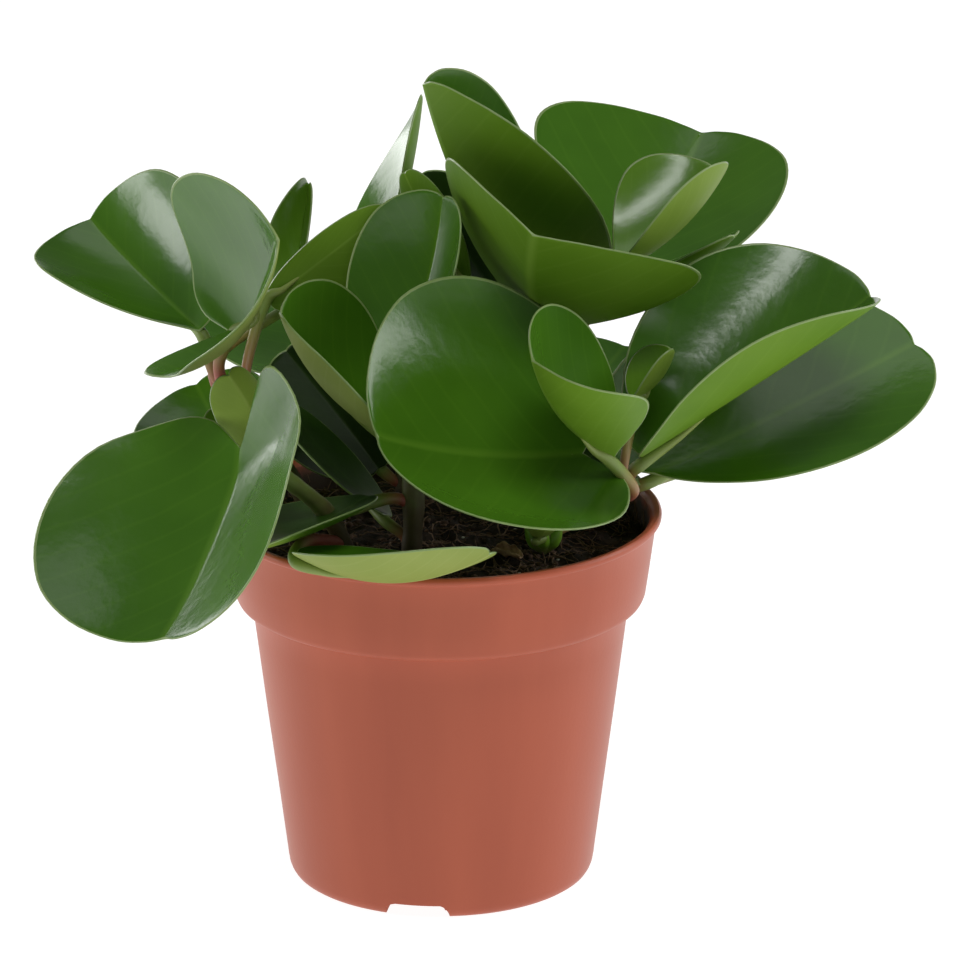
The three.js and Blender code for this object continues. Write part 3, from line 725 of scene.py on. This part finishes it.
# Each leaf is one fleshy, waxy piece with its stalk: a rounded blade, cupped along its midrib, dark and
# glossy above and pale matt green below, with a thin light rim. The stalk runs on as a keel under it.
# Shares run from 0 at the blade's foot to 1 at its tip, and from 0 at the midrib to 1 where it is widest.
BLADE_THICKNESS = 1.0
BLADE_ROWS = 44
BLADE_COLUMNS = [0, 0.05, 0.12, 0.2, 0.29, 0.38, 0.47, 0.56, 0.65, 0.74, 0.82, 0.89, 0.95, 0.99, 1.0]
RIB_SHARES = [0, 0.05, 0.12, 0.24, 0.38, 0.55, 0.72, 0.85, 0.94, 0.975, 1]
WEDGE_EDGE = [
    (0, 0), (0.04, 0.16), (0.13, 0.42), (0.28, 0.74), (0.46, 0.95), (0.63, 1),
    (0.8, 0.88), (0.93, 0.62), (1, 0.32), (1.01, 0.12), (1, 0),
]
HEART_EDGE = [
    (0, 0), (-0.1, 0.2), (-0.09, 0.45), (0.05, 0.77), (0.3, 0.97), (0.55, 1),
    (0.78, 0.87), (0.93, 0.62), (1.01, 0.32), (1.02, 0.12), (1, 0),
]
RIM_BULGE = 0.3
STALK_RADIUS = 1.6
STALK_SIDES = 14
STALK_STEPS = 40
KEEL_SHARE = 0.3
KEEL_END_RADIUS = 0.3
FULL_SIZE_HALF = 22
TOP, BACK, RIM, STALK = range(4)


def leaf_material(name, deep, bright, vein, roughness, blotch):
    """Leaf skin: two greens in soft blotches, faint veins that fan out from the midrib."""
    material, nodes, links, shader = new_material(name, roughness)
    where = nodes.new("ShaderNodeUVMap")
    split = nodes.new("ShaderNodeSeparateXYZ")
    links.new(where.outputs["UV"], split.inputs["Vector"])
    off_rib = nodes.new("ShaderNodeMath")
    off_rib.operation = "SUBTRACT"
    off_rib.inputs[1].default_value = 0.5
    links.new(split.outputs["Y"], off_rib.inputs[0])
    across = nodes.new("ShaderNodeMath")
    across.operation = "ABSOLUTE"
    links.new(off_rib.outputs["Value"], across.inputs[0])
    sweep_back = nodes.new("ShaderNodeMath")
    sweep_back.operation = "MULTIPLY_ADD"
    sweep_back.inputs[1].default_value = -1.15
    links.new(across.outputs["Value"], sweep_back.inputs[0])
    links.new(split.outputs["X"], sweep_back.inputs[2])
    place = nodes.new("ShaderNodeTexCoord")
    wander = nodes.new("ShaderNodeTexNoise")
    wander.inputs["Scale"].default_value = 26.0
    wander.inputs["Detail"].default_value = 3.0
    links.new(place.outputs["Object"], wander.inputs["Vector"])
    phase = nodes.new("ShaderNodeMath")
    phase.operation = "MULTIPLY_ADD"
    phase.inputs[1].default_value = 0.12
    links.new(wander.outputs["Fac"], phase.inputs[0])
    links.new(sweep_back.outputs["Value"], phase.inputs[2])
    comb = nodes.new("ShaderNodeMath")
    comb.operation = "MULTIPLY"
    comb.inputs[1].default_value = 2 * math.pi * 6.5
    links.new(phase.outputs["Value"], comb.inputs[0])
    wave = nodes.new("ShaderNodeMath")
    wave.operation = "COSINE"
    links.new(comb.outputs["Value"], wave.inputs[0])
    side_veins = nodes.new("ShaderNodeMapRange")
    side_veins.inputs["From Min"].default_value = 0.86
    side_veins.inputs["From Max"].default_value = 1.0
    side_veins.inputs["To Max"].default_value = 0.10
    links.new(wave.outputs["Value"], side_veins.inputs["Value"])
    midrib = nodes.new("ShaderNodeMapRange")
    midrib.inputs["From Min"].default_value = 0.022
    midrib.inputs["From Max"].default_value = 0.004
    midrib.inputs["To Max"].default_value = 0.45
    links.new(across.outputs["Value"], midrib.inputs["Value"])
    vein_mask = nodes.new("ShaderNodeMath")
    vein_mask.operation = "MAXIMUM"
    links.new(side_veins.outputs["Result"], vein_mask.inputs[0])
    links.new(midrib.outputs["Result"], vein_mask.inputs[1])
    skin_tone = nodes.new("ShaderNodeValToRGB")
    skin_tone.color_ramp.elements[0].position = 0.5 - blotch
    skin_tone.color_ramp.elements[0].color = deep
    skin_tone.color_ramp.elements[1].position = 0.5 + blotch
    skin_tone.color_ramp.elements[1].color = bright
    links.new(wander.outputs["Fac"], skin_tone.inputs["Fac"])
    veined = nodes.new("ShaderNodeMix")
    veined.data_type = "RGBA"
    veined.inputs["B"].default_value = vein
    links.new(vein_mask.outputs["Value"], veined.inputs["Factor"])
    links.new(skin_tone.outputs["Color"], veined.inputs["A"])
    links.new(veined.outputs["Result"], shader.inputs["Base Color"])
    pores = nodes.new("ShaderNodeTexNoise")
    pores.inputs["Scale"].default_value = 340.0
    pores.inputs["Detail"].default_value = 3.0
    links.new(place.outputs["Object"], pores.inputs["Vector"])
    relief = nodes.new("ShaderNodeMath")
    relief.operation = "MULTIPLY_ADD"
    relief.inputs[1].default_value = 0.12
    links.new(pores.outputs["Fac"], relief.inputs[0])
    links.new(wander.outputs["Fac"], relief.inputs[2])
    skin_bump = nodes.new("ShaderNodeBump")
    skin_bump.inputs["Strength"].default_value = 0.30
    skin_bump.inputs["Distance"].default_value = 0.002
    links.new(relief.outputs["Value"], skin_bump.inputs["Height"])
    links.new(skin_bump.outputs["Normal"], shader.inputs["Normal"])
    return material


mature_top = leaf_material(
    "mature_leaf_top", (0.038, 0.125, 0.005, 1), (0.072, 0.200, 0.010, 1), (0.12, 0.27, 0.020, 1), 0.20, 0.28
)
shaded_top = leaf_material(
    "shaded_leaf_top", (0.010, 0.030, 0.003, 1), (0.020, 0.055, 0.005, 1), (0.04, 0.09, 0.010, 1), 0.30, 0.28
)
# The usual leaf back is the leaf's own green, brightened beyond it as a painted glow of light shining
# through the leaf.
mature_back_and_painted_glow = leaf_material(
    "mature_leaf_back_and_painted_glow", (0.090, 0.200, 0.008, 1), (0.150, 0.280, 0.020, 1), (0.22, 0.36, 0.05, 1), 0.55, 0.3
)
pale_back = leaf_material(
    "pale_leaf_back", (0.20, 0.28, 0.045, 1), (0.33, 0.39, 0.11, 1), (0.42, 0.48, 0.18, 1), 0.55, 0.3
)
# A lighter green top for young leaves. It is also used as painted sheen on one mature leaf.
young_and_sheen_top = leaf_material(
    "young_leaf_top_and_painted_sheen", (0.075, 0.19, 0.010, 1), (0.14, 0.29, 0.022, 1), (0.19, 0.35, 0.05, 1), 0.24, 0.28
)
young_back = leaf_material(
    "young_leaf_back", (0.17, 0.28, 0.030, 1), (0.26, 0.38, 0.060, 1), (0.32, 0.44, 0.09, 1), 0.5, 0.3
)
for matt_side in (mature_back_and_painted_glow, pale_back, young_back):
    matt_side.node_tree.nodes["Principled BSDF"].inputs["Specular IOR Level"].default_value = 0.15
PALE_BACKED = {"centre_cupped", "front_rim", "left_cupped"}
# The upright leaf at the left gets the lighter young green on top as painted sheen.
PAINTED_SHEEN_TOPPED = {"left_upright"}
IN_THE_SHADE = {
    "inner_left", "centre_shaded", "front_diagonal", "centre_narrow", "back_right_low", "front_left_low",
}
leaf_rim, _ = mottled_material("pale_leaf_rim", 0.35, 90.0, [(0.14, 0.24, 0.05), (0.30, 0.40, 0.16)])
stalk_skin, nodes, links, shader = new_material("stalk_skin", 0.5)
where = nodes.new("ShaderNodeUVMap")
split = nodes.new("ShaderNodeSeparateXYZ")
stalk_tone = nodes.new("ShaderNodeValToRGB")
stalk_tone.color_ramp.elements[0].position = 0.17
stalk_tone.color_ramp.elements[0].color = (0.36, 0.095, 0.065, 1.0)
stalk_tone.color_ramp.elements[1].position = 0.45
stalk_tone.color_ramp.elements[1].color = (0.17, 0.25, 0.045, 1.0)
keel_end = stalk_tone.color_ramp.elements.new(0.85)
keel_end.color = (0.26, 0.33, 0.080, 1.0)
links.new(where.outputs["UV"], split.inputs["Vector"])
links.new(split.outputs["X"], stalk_tone.inputs["Fac"])
links.new(stalk_tone.outputs["Color"], shader.inputs["Base Color"])


# One place of a blade: its two vertices, its two shares, the middle between the skins and the way it faces.
Place = namedtuple("Place", "upper lower share across middle normal")


def blade_edge(lobe, t):
    """The outer edge at one place round it: shares along and across, between a wedge and a heart."""
    edge = []
    for axis in (0, 1):
        wedge = [corner[axis] for corner in WEDGE_EDGE]
        heart = [corner[axis] for corner in HEART_EDGE]
        edge.append(eased([w + (h - w) * lobe for w, h in zip(wedge, heart)], t))
    return edge


def add_blade(bm, uv, surface, up, lobe):
    """The blade's two skins, top and back. Gives back the places round its edge, in order."""
    columns = len(BLADE_COLUMNS) - 1
    made = {}

    def place_at(row, column, side):
        """The pair of vertices at one place of the blade, made once and then shared by its faces."""
        on_rib = column == 0 or row in (0, BLADE_ROWS)
        key = (row,) if on_rib else (row, column, side)
        if key in made:
            return made[key]
        t = row / BLADE_ROWS
        edge_share, edge_across = blade_edge(lobe[0 if side < 0 else 1], t)
        rib_share = eased(RIB_SHARES, t)
        out = 0.0 if on_rib else BLADE_COLUMNS[column]
        share = rib_share + (edge_share - rib_share) * out
        across = max(edge_across, 0.0) * out
        middle = surface(share, across, side)
        length_step = surface(share + 0.001, across, side) - surface(share - 0.001, across, side)
        if on_rib:
            normal = (up - length_step * (up.dot(length_step) / length_step.length_squared)).normalized()
        else:
            width_step = surface(share, across + 0.001, side) - surface(share, across - 0.001, side)
            normal = (width_step.cross(length_step) * side).normalized()
        thick = BLADE_THICKNESS / 2 * (1 - 0.5 * out ** 6)
        upper = bm.verts.new((middle + normal * thick) * MM)
        lower = bm.verts.new((middle - normal * thick) * MM)
        made[key] = Place(upper, lower, share, across * side, middle, normal)
        return made[key]

    for side in (1, -1):
        for row in range(BLADE_ROWS):
            for column in range(columns):
                corners = [
                    place_at(row, column, side),
                    place_at(row, column + 1, side),
                    place_at(row + 1, column + 1, side),
                    place_at(row + 1, column, side),
                ]
                if side < 0:
                    corners.reverse()
                corners = [c for i, c in enumerate(corners) if c.upper is not corners[i - 1].upper]
                if len(corners) < 3:
                    continue
                for skin in (TOP, BACK):
                    around = corners if skin == TOP else corners[::-1]
                    leaf_face = bm.faces.new([corner[skin] for corner in around])
                    leaf_face.smooth = True
                    leaf_face.material_index = RIM if column == columns - 1 else skin
                    for loop, corner in zip(leaf_face.loops, around):
                        loop[uv].uv = (corner.share, 0.5 + corner.across / 2)
    right_edge = [place_at(row, columns, 1) for row in range(BLADE_ROWS + 1)]
    left_edge = [place_at(row, columns, -1) for row in range(BLADE_ROWS - 1, 0, -1)]
    return right_edge + left_edge


def add_rim(bm, edge):
    """A thin rounded rim that joins the two skins all round the blade."""
    bulge = []
    for i, place in enumerate(edge):
        ahead = edge[(i + 1) % len(edge)].middle - edge[i - 1].middle
        outward = ahead.cross(place.normal).normalized()
        bulge.append(bm.verts.new((place.middle + outward * RIM_BULGE) * MM))
    for i, place in enumerate(edge):
        after = (i + 1) % len(edge)
        above = (place.upper, bulge[i], bulge[after], edge[after].upper)
        below = (bulge[i], place.lower, edge[after].lower, bulge[after])
        for quad in (above, below):
            rim_face = bm.faces.new(quad)
            rim_face.smooth = True
            rim_face.material_index = RIM


def add_stalk(bm, uv, surface, start, base, up, knee, radius):
    """The stalk from its stem to the blade's foot, and on as a keel under the midrib."""
    entry = (surface(0.02, 0, 1) - base).normalized()
    reach = (start - base).length
    bend_at = Vector(knee) if knee else start.lerp(base, 0.5) - entry * (0.12 * reach)
    climb = max(0.0, (base - bend_at).normalized().dot(up))
    path = [
        start,
        bend_at,
        base - entry * 0.5 - up * (radius * (1.05 + 0.4 * climb)),
        surface(KEEL_SHARE / 2, 0, 1) - up * (radius * (0.65 + 0.45 * climb)),
        surface(KEEL_SHARE, 0, 1),
    ]
    radii = [radius * 1.1, radius, radius * 1.15, radius * 0.6, KEEL_END_RADIUS]
    add_tube(bm, uv, path, lambda t: eased(radii, t), STALK_SIDES, STALK_STEPS, STALK)


def grow_leaf(
    name, base, tip, face, half, fold, curl, bow, stalk,
    twist=(0, 0), heel=(0, 0), lobe=(1, 1), knee=None, young=False,
):
    """One leaf. Its midrib runs from base to tip, and its upper side faces the way of face.

    Each pair holds the left half's value and the right half's: half is its width, fold how steeply it
    rises from the midrib, curl how far it bends over, twist how the fold changes along the leaf, heel how
    far its foot is bent down, and lobe how heart-shaped its foot is. The midrib sags by bow. The stalk
    starts in its stem and may have a knee.
    """
    base = Vector(base)
    along = Vector(tip) - base
    forward = along.normalized()
    up = Vector(face)
    up = (up - forward * up.dot(forward)).normalized()
    right = forward.cross(up)

    def surface(share, across, side):
        """A place on the middle of the blade, from its shares along and across."""
        k = 0 if side < 0 else 1
        turn = twist[k] * (min(max(share, -0.1), 1.05) - 0.5)
        bend = math.radians(curl[k])
        start = math.radians(fold[k] + turn) - bend / 2
        out = (math.sin(start + bend * across) - math.sin(start)) / bend
        lift = (math.cos(start) - math.cos(start + bend * across)) / bend
        heel_drop = (heel[0] + heel[1]) / 2 * (1 - across) + heel[k] * across
        sag = bow * 4 * share * (1 - share) + heel_drop * share * (1 - max(share, 0)) ** 6
        rise = half[k] * lift - sag
        return base + along * share + up * rise + right * (side * half[k] * out)

    bm = bmesh.new()
    uv = bm.loops.layers.uv.new("leaf")
    add_rim(bm, add_blade(bm, uv, surface, up, lobe))
    stalk_radius = STALK_RADIUS * (0.55 + 0.45 * min(1, half[0] / FULL_SIZE_HALF))
    add_stalk(bm, uv, surface, Vector(stalk), base, up, knee, stalk_radius)
    bmesh.ops.recalc_face_normals(bm, faces=bm.faces)
    top = young_and_sheen_top if young or name in PAINTED_SHEEN_TOPPED else shaded_top if name in IN_THE_SHADE else mature_top
    back = young_back if young else pale_back if name in PALE_BACKED else mature_back_and_painted_glow
    add_piece(f"{name}_leaf", bm, [top, back, leaf_rim, stalk_skin], f"leaf_{name}")


grow_leaf(
    "front_centre",
    base=(38, -12, 122), tip=(-16, -44, 137), face=(0.47, -0.46, 0.75), half=(39, 49), fold=(25, 23),
    curl=(30, 30), bow=4, stalk=(43, 5, 99),
)
grow_leaf(
    "left_outer",
    base=(-65, 10, 150), tip=(-97, 57, 168), face=(-0.3, -0.55, 0.76), half=(29, 29), fold=(44, 34),
    curl=(40, 40), bow=3, stalk=(-53, 2, 127), twist=(-20, 0), lobe=(-0.3, 0.3), knee=(-61, 9, 138),
)
grow_leaf(
    "left_cupped",
    base=(-56.3, -5, 154.5), tip=(-41.8, -36, 188.5), face=(-0.95, -0.19, 0.25), half=(37, 31),
    fold=(47, 34), curl=(34, 40), bow=3, stalk=(-58, 0, 136), twist=(3, -28), heel=(45, 45),
    lobe=(0.65, 1.4),
)
grow_leaf(
    "front_left_hanging",
    base=(-52, -38, 132), tip=(-70, -88, 97), face=(-0.56, -0.33, 0.76), half=(43, 49), fold=(24, 25),
    curl=(30, 30), bow=3, stalk=(-47, -35, 127), twist=(-16, 0), heel=(66, -25), lobe=(1.3, 1.15),
)
grow_leaf(
    "left_low_back",
    base=(-58, 15, 115), tip=(-68, 51, 122), face=(-0.3, -0.5, 0.81), half=(24, 18), fold=(14, 14),
    curl=(25, 25), bow=4, stalk=(-43, 4, 114),
)
grow_leaf(
    "left_pale",
    base=(-45, -24, 127), tip=(-55.4, -29, 149.3), face=(-0.49, 0.87, -0.06), half=(10, 10), fold=(40, 40),
    curl=(30, 30), bow=2, stalk=(-36, -28, 117), young=True,
)
grow_leaf(
    "left_bud",
    base=(-58, -18, 122.5), tip=(-59, -5, 132), face=(-0.05, -0.62, 0.79), half=(6, 6), fold=(40, 40),
    curl=(20, 20), bow=1, stalk=(-40, -31, 121), young=True,
)
grow_leaf(
    "left_upright",
    base=(-41, 36, 151), tip=(-37, 63, 176), face=(-0.09, -0.57, 0.82), half=(12, 5), fold=(50, 60),
    curl=(20, 20), bow=2, stalk=(-47, 3, 118), twist=(80, 0), lobe=(0, 0), knee=(-62, 18, 137),
)
grow_leaf(
    "left_back",
    base=(-47.1, 30, 152.8), tip=(-15, 24, 179.7), face=(0.21, 0.98, 0.02), half=(16, 6), fold=(14, 14),
    curl=(20, 20), bow=2, stalk=(-52, 2, 126), lobe=(0.3, 0.3),
)
grow_leaf(
    "centre_upright",
    base=(-9, 6, 146), tip=(1, 18, 185), face=(-0.45, -0.75, 0.5), half=(22, 15), fold=(25, 35),
    curl=(30, 30), bow=3, stalk=(-11, -9, 142), lobe=(1, 0.2),
)
grow_leaf(
    "centre_narrow",
    base=(8, 25, 157.1), tip=(-9.6, 30, 188.4), face=(0.17, 0.98, -0.04), half=(7, 5), fold=(20, 20),
    curl=(20, 20), bow=3, stalk=(-12, 32, 130), lobe=(0, 0),
)
grow_leaf(
    "centre_shaded",
    base=(16.2, 50, 146.9), tip=(-6.7, 62, 178), face=(-0.14, -0.85, 0.5), half=(15, 13), fold=(15, 15),
    curl=(20, 20), bow=3, stalk=(-12, 32, 136), lobe=(0.2, 0.2),
)
grow_leaf(
    "top_folded",
    base=(-12.9, 46, 166.7), tip=(-5.6, 66, 199.8), face=(-0.87, -0.18, 0.45), half=(20, 12),
    fold=(10, 30), curl=(20, 20), bow=1, stalk=(-13, 29, 154), twist=(-34, 0), lobe=(1.6, 0.5),
)
grow_leaf(
    "top_large",
    base=(14, 50, 161.3), tip=(-4.4, 34, 212.5), face=(0.8, 0.25, 0.55), half=(40, 22), fold=(36, 90),
    curl=(20, 20), bow=2, stalk=(35, 33, 140), twist=(-20, 5), lobe=(1.9, 1.2), knee=(27, 42, 146),
)
grow_leaf(
    "centre_folded",
    base=(29, 27, 145), tip=(25, -12, 183), face=(0.62, 0.53, 0.57), half=(46, 44), fold=(36, 20),
    curl=(30, 30), bow=4, stalk=(30, 30, 127), lobe=(-0.75, 0.1),
)
grow_leaf(
    "upper_right",
    base=(51, 68, 151.5), tip=(74, 118, 176.5), face=(-0.31, -0.35, 0.88), half=(44, 37), fold=(36, 4),
    curl=(25, 25), bow=2, stalk=(29, 29.5, 124), lobe=(-0.2, 1), knee=(40, 45, 143),
)
grow_leaf(
    "right_young",
    base=(45, 10, 166), tip=(76.2, 33, 187.9), face=(-0.59, 0.01, 0.8), half=(23, 22), fold=(58, 35),
    curl=(50, 50), bow=4, stalk=(39, 34, 148), lobe=(-0.4, 0.3), knee=(43, 20, 153), young=True,
)
grow_leaf(
    "right_edge",
    base=(51, 49, 151.5), tip=(80, 38, 168.5), face=(-0.3, 0.2, 0.9), half=(13, 13), fold=(15, 15),
    curl=(20, 20), bow=3, stalk=(37, 33, 143), knee=(44, 42, 150),
)
grow_leaf(
    "right_upper",
    base=(54, -4, 119), tip=(116, 11, 159), face=(-0.61, -0.12, 0.79), half=(39, 42), fold=(50, 34),
    curl=(40, 40), bow=1, stalk=(51, 0, 109), twist=(-20, -16), lobe=(0.3, 0.3),
)
grow_leaf(
    "right_lower",
    base=(58, -1, 113), tip=(129.7, 33, 139.1), face=(-0.19, -0.45, 0.87), half=(46, 31), fold=(8, 8),
    curl=(16, 16), bow=1, stalk=(47, 3, 104), lobe=(0.9, 0),
)
grow_leaf(
    "right_cupped",
    base=(46.5, -20.5, 124.2), tip=(24.7, -45, 158.3), face=(0.73, 0.16, 0.66), half=(27, 31),
    fold=(52, 44), curl=(40, 40), bow=4, stalk=(47, 2.5, 104), twist=(-50, -10), lobe=(-0.2, 0.6),
    knee=(52, -12, 112),
)
grow_leaf(
    "right_bud",
    base=(52, -9, 136.9), tip=(62.5, -4, 148.3), face=(-0.78, -0.1, 0.61), half=(11, 9), fold=(40, 40),
    curl=(30, 30), bow=2, stalk=(50, 0.5, 107), lobe=(0.3, 0.3), knee=(49.2, -9, 116.5), young=True,
)
grow_leaf(
    "centre_cupped",
    base=(-17, -9, 130), tip=(-42, -17, 163), face=(0.79, -0.2, 0.58), half=(28, 26), fold=(34, 34),
    curl=(40, 40), bow=4, stalk=(-8, -17, 120), lobe=(1, 0.5),
)
grow_leaf(
    "front_rim",
    base=(-37, -56, 108.5), tip=(13, -68, 113), face=(-0.03, 0.36, 0.93), half=(22, 22), fold=(22, 17),
    curl=(20, 20), bow=7, stalk=(-26, -23, 101), twist=(-25, 0), lobe=(0.3, 0.3),
)
grow_leaf(
    "front_left_low",
    base=(-19, -24, 114), tip=(-54, -50, 107), face=(-0.31, 0.06, 0.95), half=(21, 21), fold=(14, 14),
    curl=(20, 20), bow=2, stalk=(-7, -19, 110), lobe=(0.3, 0.3),
)
grow_leaf(
    "front_diagonal",
    base=(-14, -16, 106), tip=(-43, 18, 128), face=(0.59, 0, 0.8), half=(16, 14), fold=(8, 8),
    curl=(20, 20), bow=2, stalk=(-7.5, -20, 98), lobe=(0.2, 0.2),
)
grow_leaf(
    "inner_left",
    base=(-17.3, 28.5, 105), tip=(-42.1, 22.5, 140.7), face=(-0.25, -0.9, 0.35), half=(18.5, 17),
    fold=(31, 8), curl=(16, 16), bow=2, stalk=(-10.5, 29.5, 100), lobe=(0.3, 0.3),
)
grow_leaf(
    "soil_young",
    base=(26, -25, 103), tip=(29, -33, 110), face=(0, 0.6, 0.8), half=(5, 5), fold=(30, 30), curl=(30, 30),
    bow=1, stalk=(41, 6, 98), lobe=(0, 0), knee=(35, -10, 101), young=True,
)
grow_leaf(
    "back_left",
    base=(-32, 48, 130), tip=(-52, 92, 140), face=(-0.2, -0.2, 0.96), half=(26, 26), fold=(14, 14),
    curl=(25, 25), bow=3, stalk=(-12, 32, 122),
)
grow_leaf(
    "back_centre",
    base=(-4, 60, 128), tip=(-6, 108, 134), face=(0, -0.15, 0.99), half=(30, 30), fold=(16, 16),
    curl=(25, 25), bow=3, stalk=(-11, 32, 118),
)
grow_leaf(
    "back_right",
    base=(34, 60, 117), tip=(52, 104, 117), face=(0.1, -0.05, 0.99), half=(27, 27), fold=(12, 12),
    curl=(25, 25), bow=3, stalk=(26, 28, 118),
)
grow_leaf(
    "back_left_low",
    base=(-28, 46, 112), tip=(-46, 80, 106), face=(-0.2, 0.1, 0.97), half=(21, 21), fold=(12, 12),
    curl=(20, 20), bow=3, stalk=(-10, 29, 104),
)
grow_leaf(
    "back_low",
    base=(6, 48, 112), tip=(10, 86, 105), face=(0, 0.1, 0.99), half=(20, 20), fold=(12, 12), curl=(20, 20),
    bow=3, stalk=(-10, 30, 108),
)
grow_leaf(
    "back_right_low",
    base=(40.4, 24, 105.4), tip=(45.3, 32, 125.3), face=(0.1, -0.9, 0.4), half=(13, 13), fold=(12, 12),
    curl=(20, 20), bow=3, stalk=(21, 23, 106), lobe=(0.6, 0.6),
)
grow_leaf(
    "right_back_side",
    base=(66, 22, 108), tip=(96, 51, 110), face=(0, 0, 1), half=(20, 20), fold=(14, 14), curl=(20, 20),
    bow=3, stalk=(43, 5.5, 99),
)


# Three plump new shoots, still folded shut, push up through the peat at the front beside the young leaf.
# They are fleshy and bright green, paler at the foot, and grow from one root.
SHOOT_FOOT = Vector((27.8, -19.5, 96.8))
SHOOT_TOPS = [Vector((23.0, -20.5, 104.5)), Vector((27.6, -22.5, 105.0)), Vector((32.6, -20.5, 104.5))]
SHOOT_RADII = [0.8, 1.3, 1.9, 1.5, 0.3]
SHOOT_DIP = Vector((0, 0, -0.6))
shoot_skin, nodes, links, shader = new_material("shoot_skin", 0.35)
where = nodes.new("ShaderNodeUVMap")
split = nodes.new("ShaderNodeSeparateXYZ")
shoot_tone = nodes.new("ShaderNodeValToRGB")
shoot_tone.color_ramp.elements[0].color = (0.42, 0.46, 0.16, 1.0)
shoot_tone.color_ramp.elements[1].position = 0.5
shoot_tone.color_ramp.elements[1].color = (0.20, 0.42, 0.03, 1.0)
links.new(where.outputs["UV"], split.inputs["Vector"])
links.new(split.outputs["X"], shoot_tone.inputs["Fac"])
links.new(shoot_tone.outputs["Color"], shader.inputs["Base Color"])
bm = bmesh.new()
uv = bm.loops.layers.uv.new("along")
for top in SHOOT_TOPS:
    path = [SHOOT_FOOT, SHOOT_FOOT.lerp(top, 0.5) + SHOOT_DIP, top]
    add_tube(bm, uv, path, lambda t: eased(SHOOT_RADII, t), sides=16, steps=24)
add_piece("soil_shoots", bm, [shoot_skin], None)
